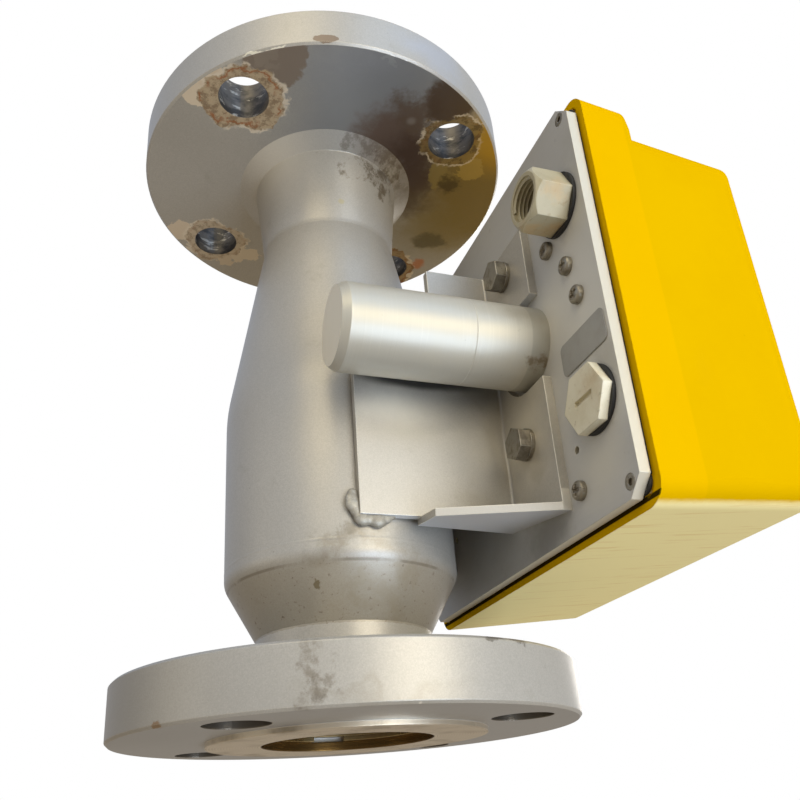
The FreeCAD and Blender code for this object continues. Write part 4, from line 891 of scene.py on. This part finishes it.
def windowFrameFinish():
    surface = steelSurface("windowFrameSteel", windowSteel)
    addBrushing(surface, (60, 400, 1100), 0.01)
    breakEdges(surface, 0.35, windowSteel["edge"], 0.3, 1.0, 0.6)
    return finish(surface)


rearLabel = {
    "colour": (158, 157, 152), "cloud": (148, 145, 136), "streaks": (156, 154, 147),
    "specks": (96, 90, 76), "edge": (112, 110, 104),
}


def labelFinish():
    surface = newSurface("labelFoil", rearLabel["colour"], 0.46, 0.15)
    layer(surface, grimeMask(surface, 200, 0.42, 0.68), rearLabel["cloud"], 0.55, strength=0.5)
    streaks = useGroup(surface["tree"], brushing, {"Stretch": (1500, 60, 80)}).outputs["Streaks"]
    layer(surface, remap(surface["tree"], streaks, 0.4, 0.65), rearLabel["streaks"], 0.4, strength=0.3)
    layer(surface, grimeMask(surface, 500, 0.68, 0.76), rearLabel["specks"], 0.7, strength=0.5)
    addPits(surface, 160, 0.01)
    breakEdges(surface, 0.15, rearLabel["edge"], 0.5, strength=0.7)
    return finish(surface)


# Paint, plastic, rubber and glass of the indicator

yellowPaint = {
    "colour": (208, 166, 0), "deep": (202, 158, 0), "faded": (202, 160, 6), "specks": (150, 116, 20),
    "roughness": 0.5, "coat": 0.0, "coatRoughness": 0.2, "specular": 0.0,
    "filmAndPaintedSheen": (252, 236, 172), "worn": (236, 208, 140), "rim": (222, 172, 0), "rimWidth": 15.5,
    "gap": (26, 22, 8), "edge": (228, 188, 14),
}
# Where the back plate's lower edge meets the cover's rim, and how wide the painted shadow in the gap there
# is.
plateLowerEdge = {"y": -56.0, "z": 49.0, "gap": 0.9}


def coverFinish():
    surface = newSurface("yellowPaint", yellowPaint["colour"], yellowPaint["roughness"])
    tree = surface["tree"]
    layer(surface, grimeMask(surface, 14, 0.4, 0.7), yellowPaint["deep"], strength=0.5)
    layer(surface, grimeMask(surface, 60, 0.55, 0.8), yellowPaint["faded"], 0.55, strength=0.35)
    layer(surface, grimeMask(surface, 700, 0.70, 0.76), yellowPaint["specks"], 0.6, strength=0.4)
    below = facingMask(surface, (0, 0, -1), 0.75, 0.95)
    scuffs = useGroup(tree, brushing, {"Stretch": (500, 26, 60)}).outputs["Streaks"]
    # Painted reflection: the downward faces turned pale cream, standing in for the bright floor mirrored
    # in the paint.
    layer(surface, below, yellowPaint["filmAndPaintedSheen"], 0.42)
    worn = calc(tree, "MULTIPLY", below, remap(tree, scuffs, 0.56, 0.68))
    layer(surface, worn, yellowPaint["worn"], 0.5, strength=0.55)
    # Painted light: the rim band next to the back plate made lighter against the shade it lies in.
    fromRim = distanceFrom(surface, (0, plateLowerEdge["y"], 0), (0, 1, 0))
    width = yellowPaint["rimWidth"]
    band = remap(tree, fromRim, width * mm, (width + 1) * mm, 1.0, 0.0)
    band = calc(tree, "MULTIPLY", band, calc(tree, "SUBTRACT", 1.0, below))
    layer(surface, band, yellowPaint["rim"], 0.36, strength=0.35)
    # Painted shadow: a dark strip on the rim's rear face just below the back plate's lower edge.
    fromPlate = distanceFrom(surface, (0, 0, plateLowerEdge["z"]), (0, 0, 1))
    width = plateLowerEdge["gap"]
    gap = calc(tree, "MULTIPLY", remap(tree, fromRim, 0.2 * mm, 0.4 * mm, 1.0, 0.0),
               remap(tree, fromPlate, (width - 0.3) * mm, width * mm, 1.0, 0.0))
    layer(surface, gap, yellowPaint["gap"], 0.8, strength=0.95)
    breakEdges(surface, 0.5, yellowPaint["edge"], 0.35, strength=0.3)
    sockets = {"PeelSize": 3.5 * mm, "Peel": 0.03 * mm, "GrainSize": 0.6 * mm, "Grain": 0.003 * mm}
    addRelief(surface, useGroup(tree, skin, sockets).outputs["Height"])
    return finish(surface, **{"Coat Weight": yellowPaint["coat"],
                              "Coat Roughness": yellowPaint["coatRoughness"],
                              "Specular IOR Level": yellowPaint["specular"]})


blackRubber = {"colour": (34, 34, 34), "dust": (78, 74, 66)}


def rubberFinish():
    surface = newSurface("blackRubber", blackRubber["colour"], 0.62)
    layer(surface, grimeMask(surface, 200, 0.5, 0.7), blackRubber["dust"], 0.8, strength=0.5)
    addPits(surface, 600, 0.03)
    breakEdges(surface, 0.3)
    return finish(surface)


# One plastic for the entry and its plug: the entry's copy is darker and the plug's copy paler, painted to
# offset how differently light falls on them.
entryPlastic = {
    "darker": (174, 166, 138), "darkerDirt": (156, 146, 116), "pale": (226, 220, 196),
    "paleDirt": (204, 194, 162), "handled": (142, 122, 88), "specks": (70, 56, 40),
    "edge": (228, 222, 200),
}
entryStains = [
    {"centre": (-92, -46, 143), "reach": 9, "colour": (190, 150, 92), "soft": 0.9, "ragged": 0.5,
     "grain": 260, "strength": 0.55},
    {"centre": (-104, -45, 152), "reach": 6, "colour": (196, 160, 104), "soft": 0.9, "ragged": 0.6,
     "grain": 300, "strength": 0.4},
    {"centre": (-100, -46, 84), "reach": 8, "colour": (186, 152, 100), "soft": 0.9, "ragged": 0.6,
     "grain": 260, "strength": 0.35},
]


def plasticFinish(name, colour, dirt):
    surface = newSurface(name, colour, 0.42)
    layer(surface, grimeMask(surface, 90, 0.4, 0.7), dirt, 0.5, strength=0.5)
    layer(surface, grimeMask(surface, 420, 0.58, 0.72), entryPlastic["handled"], 0.6, strength=0.5)
    layer(surface, grimeMask(surface, 1200, 0.68, 0.74), entryPlastic["specks"], 0.7, strength=0.8)
    addStains(surface, entryStains)
    addPits(surface, 500, 0.02)
    breakEdges(surface, 0.5, entryPlastic["edge"], 0.35, strength=0.4)
    return finish(surface)


greyMoulding = {"colour": (122, 126, 128), "cloud": (104, 108, 110)}


def terminalFinish():
    surface = newSurface("greyMoulding", greyMoulding["colour"], 0.45)
    layer(surface, grimeMask(surface, 300, 0.45, 0.7), greyMoulding["cloud"], 0.55, strength=0.6)
    addPits(surface, 1400, 0.01)
    breakEdges(surface, 0.3)
    return finish(surface)


dialEnamel = {"colour": (236, 235, 230), "cloud": (226, 222, 210), "specks": (170, 162, 144)}


def dialFinish():
    surface = newSurface("dialEnamel", dialEnamel["colour"], 0.34)
    layer(surface, grimeMask(surface, 30, 0.45, 0.75), dialEnamel["cloud"], 0.42, strength=0.6)
    layer(surface, grimeMask(surface, 900, 0.70, 0.76), dialEnamel["specks"], 0.5, strength=0.5)
    addRelief(surface, useGroup(surface["tree"], skin, {"Peel": 0.01 * mm}).outputs["Height"])
    return finish(surface)


printInk = {"colour": (24, 24, 26), "cloud": (44, 44, 46)}


def inkFinish():
    surface = newSurface("dialInk", printInk["colour"], 0.5)
    layer(surface, grimeMask(surface, 1200, 0.5, 0.7), printInk["cloud"], 0.6, strength=0.6)
    return finish(surface)


pointerBlack = {"colour": (30, 30, 32), "cloud": (52, 52, 54), "edge": (88, 88, 90)}


def pointerFinish():
    surface = newSurface("blackAnodised", pointerBlack["colour"], 0.34, 0.3)
    layer(surface, grimeMask(surface, 400, 0.5, 0.72), pointerBlack["cloud"], 0.45, strength=0.6)
    breakEdges(surface, 0.2, pointerBlack["edge"], 0.3, 0.6, 0.6)
    return finish(surface)


windowGlass = {"colour": (238, 246, 244), "clean": 0.02, "smeared": 0.09, "ior": 1.45}


def glassFinish():
    surface = newSurface("windowGlass", windowGlass["colour"], windowGlass["clean"])
    smears = grimeMask(surface, 40, 0.5, 0.8)
    surface["roughness"] = mixValue(surface["tree"], smears, windowGlass["clean"], windowGlass["smeared"])
    return finish(surface, **{"Transmission Weight": 1.0, "IOR": windowGlass["ior"]})


tubePaint = tubeFinish()
bracketPaint = bracketFinish()
weldPaint = weldFinish()
zinc = fastenerFinish()
darkerEntryPlastic = plasticFinish("darkerEntryPlastic", entryPlastic["darker"], entryPlastic["darkerDirt"])
palePlastic = plasticFinish("palePlastic", entryPlastic["pale"], entryPlastic["paleDirt"])
dialInk = inkFinish()
guideMetal = guideFinish()
rubber = rubberFinish()
floatMetal = floatFinish()
darkMagnet = magnetFinish()
turnedHousing = housingFinish()
innerMetal = innerAluminiumFinish()
brass = brassFinish()
moulding = terminalFinish()
blackAnodised = pointerFinish()

finishOf = {
    "lower_flange": lowerFlangeFinish(), "upper_flange": upperFlangeFinish(),
    "lower_reducer": tubePaint, "measuring_body": tubePaint,
    "near_bracket": bracketPaint, "far_bracket": bracketPaint,
    "back_plate": plateFinish(), "cover": coverFinish(), "window_frame": windowFrameFinish(),
    "window_glass": glassFinish(), "dial_plate": dialFinish(), "rear_label": labelFinish(),
    "pointer": blackAnodised,
}
sharedFinishes = [
    (guideMetal, "measuring_cone lower_guide upper_guide lower_circlip upper_circlip guide_rod "
                 "lower_stop upper_stop follower_shaft"),
    (zinc, "bracket_bolts spring_washers bracket_nuts cover_screws frame_screws dial_screws rear_screws"),
    (rubber, "plate_seal window_seal entry_seal plug_seal"),
    (darkerEntryPlastic, "cable_entry entry_nut"),
    (palePlastic, "entry_plug plug_nut"),
    (turnedHousing, "housing_base housing_cap housing_nut"),
    (innerMetal, "magnet_holder damping_disc dial_posts"),
    (brass, "rear_bearing front_bearing counterweight terminal_screws earth_clamp"),
    (darkMagnet, "float_magnet follower_magnet damping_magnet"),
    (floatMetal, "float_body float_plug"),
    (moulding, "terminal_block cable_clip"),
]
for material, names in sharedFinishes:
    for name in names.split():
        finishOf[name] = material

for name, part in parts.items():
    part.data.materials.clear()
    part.data.materials.append(finishOf[name])
print("finishes laid on", len(finishOf), "nodes")


# Pieces made here

def meshPiece(name, vertices, faces, material, body="meter", smooth=True):
    mesh = bpy.data.meshes.new(name)
    mesh.from_pydata([tuple(vertex) for vertex in vertices], [], faces)
    mesh.update()
    cleaner = bmesh.new()
    cleaner.from_mesh(mesh)
    bmesh.ops.recalc_face_normals(cleaner, faces=cleaner.faces)
    cleaner.to_mesh(mesh)
    cleaner.free()
    if smooth:
        mesh.shade_smooth()
    mesh.materials.append(material)
    piece = bpy.data.objects.new(name, mesh)
    bpy.context.scene.collection.objects.link(piece)
    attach(piece, body)
    return piece


def sweep(path, frames, section, closed=False):
    # Joins copies of a section, given in each frame's (side, up) directions, along a path.
    vertices = []
    faces = []
    count = len(section)
    for point, (side, up) in zip(path, frames):
        vertices += [point + side * a + up * b for a, b in section]
    spans = len(path) if closed else len(path) - 1
    for i in range(spans):
        j = (i + 1) % len(path)
        for k in range(count):
            m = (k + 1) % count
            faces.append((i * count + k, i * count + m, j * count + m, j * count + k))
    if not closed:
        faces.append(tuple(range(count)))
        faces.append(tuple(range((len(path) - 1) * count, len(path) * count)))
    return vertices, faces


weldSeams = {
    "seams": [("lowerHubSeam", 33.55, 30.2), ("shoulderSeam", 57.0, 41.0), ("neckSeam", 193.75, 26.9)],
    "width": 2.6, "height": 0.18, "sunk": 0.15, "ripple": 0.03, "waves": (31, 47, 83),
    "section": 9, "steps": 260,
}


def addWeldSeams(settings):
    # Low rippled ridges round the tube.
    maker = random.Random(4)
    section = settings["section"]
    for name, z, radius in settings["seams"]:
        phases = [(maker.uniform(0, math.tau), waves) for waves in settings["waves"]]
        vertices, faces = [], []
        for i in range(settings["steps"]):
            angle = math.tau * i / settings["steps"]
            wave = sum(math.sin(angle * waves + phase) for phase, waves in phases) / len(phases)
            rise = settings["height"] + settings["ripple"] * wave
            out = Vector((math.cos(angle), math.sin(angle), 0))
            for k in range(section):
                share = k / (section - 1) * 2 - 1
                lift = rise * math.cos(share * math.pi / 2) - settings["sunk"]
                place = Vector((0, 0, z + share * settings["width"] / 2))
                vertices.append((out * (radius + lift) + place) * mm)
        for i in range(settings["steps"]):
            j = (i + 1) % settings["steps"]
            for k in range(section - 1):
                first, second = i * section + k, j * section + k
                faces.append((first, first + 1, second + 1, second))
        meshPiece(name, vertices, faces, tubePaint)


weldBeads = {
    "drops": [((-41.5, 6.7, 71.4), 1.7), ((-41.6, 6.9, 69.6), 2.2), ((-41.8, 6.8, 67.4), 2.4),
              ((-41.9, 5.6, 65.2), 2.2), ((-42.0, 4.0, 63.0), 2.7), ((-42.0, 1.6, 63.0), 2.3),
              ((-42.0, -0.8, 62.6), 2.8), ((-42.0, -3.4, 63.2), 2.0), ((-42.0, -5.6, 64.0), 1.4)],
    "flatness": (0.6, 1.15, 1.0), "grain": 0.3, "smoothing": 12,
}


def addWeldBeads(settings):
    # Overlapping drops, fused and smoothed into one bead.
    beads = bmesh.new()
    for place, radius in settings["drops"]:
        start = len(beads.verts)
        bmesh.ops.create_icosphere(beads, subdivisions=3, radius=radius)
        beads.verts.ensure_lookup_table()
        for vertex in beads.verts[start:]:
            vertex.co = Vector(middle + offset * flat for middle, offset, flat
                               in zip(place, vertex.co, settings["flatness"])) * mm
    mesh = bpy.data.meshes.new("weldBeads")
    beads.to_mesh(mesh)
    beads.free()
    mesh.materials.append(weldPaint)
    piece = bpy.data.objects.new("weldBeads", mesh)
    bpy.context.scene.collection.objects.link(piece)
    fused = piece.modifiers.new("fused", "REMESH")
    fused.mode = "VOXEL"
    fused.voxel_size = settings["grain"] * mm
    fused.use_smooth_shade = True
    soft = piece.modifiers.new("soft", "SMOOTH")
    soft.iterations = settings["smoothing"]
    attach(piece, "meter")


entryThread = {
    "axis": (-94.8, 153.9), "mouth": -39.2, "end": -48.6, "pitch": 1.4, "outer": 7.35, "inner": 6.35,
    "crest": 0.18, "steps": 64,
}


def addEntryThread(settings):
    # A helical ridge that stands inward from the wall of the entry's mouth.
    x, z = settings["axis"]
    turns = (settings["mouth"] - settings["end"]) / settings["pitch"]
    total = int(turns * settings["steps"])
    path, frames = [], []
    for i in range(total + 1):
        angle = math.tau * i / settings["steps"]
        y = settings["mouth"] - settings["pitch"] * i / settings["steps"]
        out = Vector((math.cos(angle), 0, math.sin(angle)))
        path.append(Vector((x, y, z)) * mm + out * settings["outer"] * mm)
        frames.append((-out * mm, Vector((0, 1, 0)) * mm))
    depth = settings["outer"] - settings["inner"]
    half = settings["pitch"] * 0.42
    crest = half * settings["crest"]
    section = [(0, -half), (depth, -crest), (depth, crest), (0, half)]
    vertices, faces = sweep(path, frames, section)
    meshPiece("entryThread", vertices, faces, darkerEntryPlastic, smooth=False)


panScrews = {
    "places": [(-93.3, 131.1, 20), (-96.2, 118.3, 65), (-84.3, 143.9, 40), (-80.2, 60.3, 10)],
    "seat": -51.5, "radius": 3.0, "height": 2.3, "rim": 0.52, "roundness": 3.2,
    "cross": {"half": 0.5, "long": 1.75, "deep": 1.3, "soft": 0.24}, "rings": 30, "steps": 96,
}


def addPanScrews(settings):
    # Domed heads with a cross sunk into them, each turned its own way.
    cross = settings["cross"]
    long, half = cross["long"], cross["half"]
    for number, (x, z, turn) in enumerate(settings["places"], 1):
        vertices, faces = [], []
        slant = math.radians(turn)
        for ring in range(settings["rings"] + 1):
            out = settings["radius"] * ring / settings["rings"]
            share = ring / settings["rings"]
            bulge = math.sqrt(max(0.0, 1 - share ** settings["roundness"]))
            dome = settings["height"] * (settings["rim"] + (1 - settings["rim"]) * bulge)
            for step in range(settings["steps"]):
                angle = math.tau * step / settings["steps"]
                a = out * math.cos(angle - slant)
                b = out * math.sin(angle - slant)
                arm = min(max(abs(a) - long, abs(b) - half), max(abs(b) - long, abs(a) - half))
                sink = min(1.0, max(0.0, 0.5 - arm / cross["soft"])) * cross["deep"] * (1 - 0.35 * share)
                point = Vector((x + out * math.cos(angle), settings["seat"] + dome - sink,
                                z + out * math.sin(angle)))
                vertices.append(point * mm)
        for step in range(settings["steps"]):
            angle = math.tau * step / settings["steps"]
            vertices.append(Vector((x + settings["radius"] * math.cos(angle), settings["seat"],
                                    z + settings["radius"] * math.sin(angle))) * mm)
        for ring in range(settings["rings"] + 1):
            for step in range(settings["steps"]):
                after = (step + 1) % settings["steps"]
                first = ring * settings["steps"]
                second = first + settings["steps"]
                faces.append((first + step, first + after, second + after, second + step))
        piece = meshPiece("rearScrew_%d" % number, vertices, faces, zinc)
        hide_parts("rear_screws")


dialScale = {
    "pivot": (-63.55, 118.3), "face": -98.3, "thick": 0.12, "sweep": (-35.0, 35.0), "marks": 50,
    "arc": 63.0, "arcWidth": 0.3, "arcSteps": 70, "minor": 65.2, "middle": 66.4, "major": 68.2,
    "fineHalf": 0.2, "majorHalf": 0.34, "figures": 6, "figureStep": 20, "numbers": 56.0,
    "textSize": 6.2, "textThick": 0.05,
}


def addDialScale(settings):
    px, pz = settings["pivot"]
    front = settings["face"] - settings["thick"]
    vertices, faces = [], []

    def plate(corners):
        start = len(vertices)
        for y in (settings["face"], front):
            vertices.extend(Vector((a, y, b)) * mm for a, b in corners)
        count = len(corners)
        faces.append(tuple(start + i for i in range(count)))
        faces.append(tuple(start + count + i for i in range(count)))
        for i in range(count):
            j = (i + 1) % count
            faces.append((start + i, start + j, start + count + j, start + count + i))

    def spot(radius, degrees, side=0.0):
        angle = math.radians(degrees)
        return (px + radius * math.cos(angle) - side * math.sin(angle),
                pz + radius * math.sin(angle) + side * math.cos(angle))

    low, high = settings["sweep"]
    arc = settings["arc"]
    for i in range(settings["marks"] + 1):
        degrees = low + (high - low) * i / settings["marks"]
        end = settings["major"] if i % 10 == 0 else settings["middle"] if i % 5 == 0 else settings["minor"]
        half = settings["majorHalf"] if i % 10 == 0 else settings["fineHalf"]
        plate([spot(arc, degrees, -half), spot(end, degrees, -half),
               spot(end, degrees, half), spot(arc, degrees, half)])
    inner = arc - settings["arcWidth"]
    for i in range(settings["arcSteps"]):
        first = low + (high - low) * i / settings["arcSteps"]
        second = low + (high - low) * (i + 1) / settings["arcSteps"]
        plate([spot(inner, first), spot(arc, first), spot(arc, second), spot(inner, second)])
    meshPiece("dialScale", vertices, faces, dialInk, smooth=False)
    for i in range(settings["figures"]):
        figure = i * settings["figureStep"]
        degrees = low + (high - low) * i / (settings["figures"] - 1)
        text = bpy.data.curves.new("figure", "FONT")
        text.body = str(figure)
        text.size = settings["textSize"] * mm
        text.align_x = "CENTER"
        text.align_y = "CENTER"
        text.extrude = settings["textThick"] * mm
        writer = bpy.data.objects.new("figure", text)
        bpy.context.scene.collection.objects.link(writer)
        bpy.context.view_layer.update()
        ready = writer.evaluated_get(bpy.context.evaluated_depsgraph_get())
        drawn = bpy.data.meshes.new_from_object(ready)
        a, b = spot(settings["numbers"], degrees)
        place = Matrix.Translation(Vector((a, settings["face"] - settings["thick"] / 2, b)) * mm)
        drawn.transform(place @ Matrix.Rotation(math.radians(90), 4, "X"))
        bpy.data.objects.remove(writer)
        drawn.materials.clear()
        drawn.materials.append(dialInk)
        piece = bpy.data.objects.new("dialFigure_%d" % figure, drawn)
        bpy.context.scene.collection.objects.link(piece)
        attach(piece, "meter")


addWeldSeams(weldSeams)
addWeldBeads(weldBeads)
addEntryThread(entryThread)
addPanScrews(panScrews)
addDialScale(dialScale)
print("small pieces built")


# Floor, light and camera

# From here on places and sizes are in metres, and the colours of light are 0 to 1.
studio = {
    "floorSize": 8.0, "floorDrop": 0.0004, "floorColour": (236, 235, 232), "floorCloud": (230, 229, 226),
    "backdrop": (1.0, 1.0, 1.0), "above": (0.46, 0.53, 0.67), "below": (0.39, 0.325, 0.24),
    "lampsAimAt": (-0.02, -0.03, 0.12),
}
lamps = [
    {"name": "keyLamp", "place": (-1.20, -0.35, 0.25), "size": 0.8, "power": 7.4,
     "colour": (1.0, 0.90, 0.70)},
    {"name": "warmLamp", "place": (-0.90, 0.50, 0.90), "size": 0.8, "power": 4.2,
     "colour": (1.0, 0.82, 0.46)},
    {"name": "coolLamp", "place": (-1.00, -0.40, 1.00), "size": 0.8, "power": 2.5,
     "colour": (0.38, 0.62, 1.0)},
    {"name": "lowLamp", "place": (-1.00, -0.40, -0.50), "size": 0.8, "power": 9.8,
     "colour": (0.64, 0.78, 1.0)},
    {"name": "sideLamp", "place": (0.05, 1.25, 0.15), "size": 0.7, "power": 0.6,
     "colour": (1.0, 0.90, 0.70)},
    {"name": "frontLamp", "place": (1.00, -1.00, 0.55), "size": 0.9, "power": 7.0,
     "colour": (1.0, 0.96, 0.90)},
]
viewPoint = {
    "place": (-0.27013, 0.07539, -0.02476), "lookAt": (0.06257, -0.04508, 0.12912),
    "rollDegrees": -4.081, "lens": 36.452, "shift": (0.00872, 0.08563),
}


def addFloor(settings):
    half = settings["floorSize"] / 2
    mesh = bpy.data.meshes.new("studioFloor")
    corners = [(x, y, -settings["floorDrop"])
               for x, y in ((-half, -half), (half, -half), (half, half), (-half, half))]
    mesh.from_pydata(corners, [], [(0, 1, 2, 3)])
    floor = bpy.data.objects.new("studioFloor", mesh)
    bpy.context.scene.collection.objects.link(floor)
    surface = newSurface("paleFloor", settings["floorColour"], 0.7)
    tree = surface["tree"]
    layer(surface, grimeMask(surface, 3, 0.4, 0.7), settings["floorCloud"], strength=0.5)
    finish(surface)
    # Seen from above it is a floor; from below, and in reflections, it isn't there.
    clear = addNode(tree, "ShaderNodeBsdfTransparent")
    shown = addNode(tree, "ShaderNodeLightPath").outputs["Is Camera Ray"]
    back = addNode(tree, "ShaderNodeNewGeometry").outputs["Backfacing"]
    shown = calc(tree, "MULTIPLY", shown, calc(tree, "SUBTRACT", 1.0, back))
    both = addNode(tree, "ShaderNodeMixShader", {0: shown})
    tree.links.new(clear.outputs[0], both.inputs[1])
    tree.links.new(surface["shader"].outputs[0], both.inputs[2])
    output = next(node for node in tree.nodes if node.bl_idname == "ShaderNodeOutputMaterial")
    tree.links.new(both.outputs[0], output.inputs[0])
    mesh.materials.append(surface["material"])


def addWorld(settings):
    world = bpy.data.worlds.new("studioWorld")
    bpy.context.scene.world = world
    world.use_nodes = True
    tree = world.node_tree
    tree.nodes.clear()
    toSky = addNode(tree, "ShaderNodeTexCoord").outputs["Generated"]
    height = remap(tree, addNode(tree, "ShaderNodeSeparateXYZ", {0: toSky}).outputs[2], -0.4, 0.6)
    sky = mixColour(tree, height, (*settings["below"], 1), (*settings["above"], 1))
    glow = addNode(tree, "ShaderNodeBackground", {0: sky, 1: 1.0})
    plain = addNode(tree, "ShaderNodeBackground", {0: (*settings["backdrop"], 1), 1: 1.0})
    seen = addNode(tree, "ShaderNodeLightPath").outputs["Is Camera Ray"]
    both = addNode(tree, "ShaderNodeMixShader", {0: seen})
    tree.links.new(glow.outputs[0], both.inputs[1])
    tree.links.new(plain.outputs[0], both.inputs[2])
    output = tree.nodes.new("ShaderNodeOutputWorld")
    tree.links.new(both.outputs[0], output.inputs[0])


def addLamps(settings, middle):
    for lamp in settings:
        light = bpy.data.lights.new(lamp["name"], "AREA")
        light.shape = "DISK"
        light.size = lamp["size"]
        light.energy = lamp["power"]
        light.color = lamp["colour"]
        holder = bpy.data.objects.new(lamp["name"], light)
        bpy.context.scene.collection.objects.link(holder)
        holder.location = lamp["place"]
        away = Vector(lamp["place"]) - Vector(middle)
        holder.rotation_euler = away.to_track_quat("Z", "Y").to_euler()
        holder.visible_camera = False


def addCamera(settings):
    camera = bpy.data.cameras.new("viewCamera")
    camera.sensor_width = 36
    camera.lens = settings["lens"]
    camera.shift_x, camera.shift_y = settings["shift"]
    camera.clip_start = 0.01
    holder = bpy.data.objects.new("viewCamera", camera)
    bpy.context.scene.collection.objects.link(holder)
    place = Vector(settings["place"])
    ahead = (Vector(settings["lookAt"]) - place).normalized()
    right = ahead.cross(Vector((0, 0, 1))).normalized()
    above = right.cross(ahead)
    turn = math.radians(settings["rollDegrees"])
    across = right * math.cos(turn) + above * math.sin(turn)
    upward = above * math.cos(turn) - right * math.sin(turn)
    facingIn = Matrix((across, upward, -ahead)).transposed().to_4x4()
    holder.matrix_world = Matrix.Translation(place) @ facingIn
    bpy.context.scene.camera = holder


addFloor(studio)
addWorld(studio)
addLamps(lamps, studio["lampsAimAt"])
addCamera(viewPoint)
bpy.context.scene.view_settings.view_transform = "Standard"
print("floor, light and camera set")
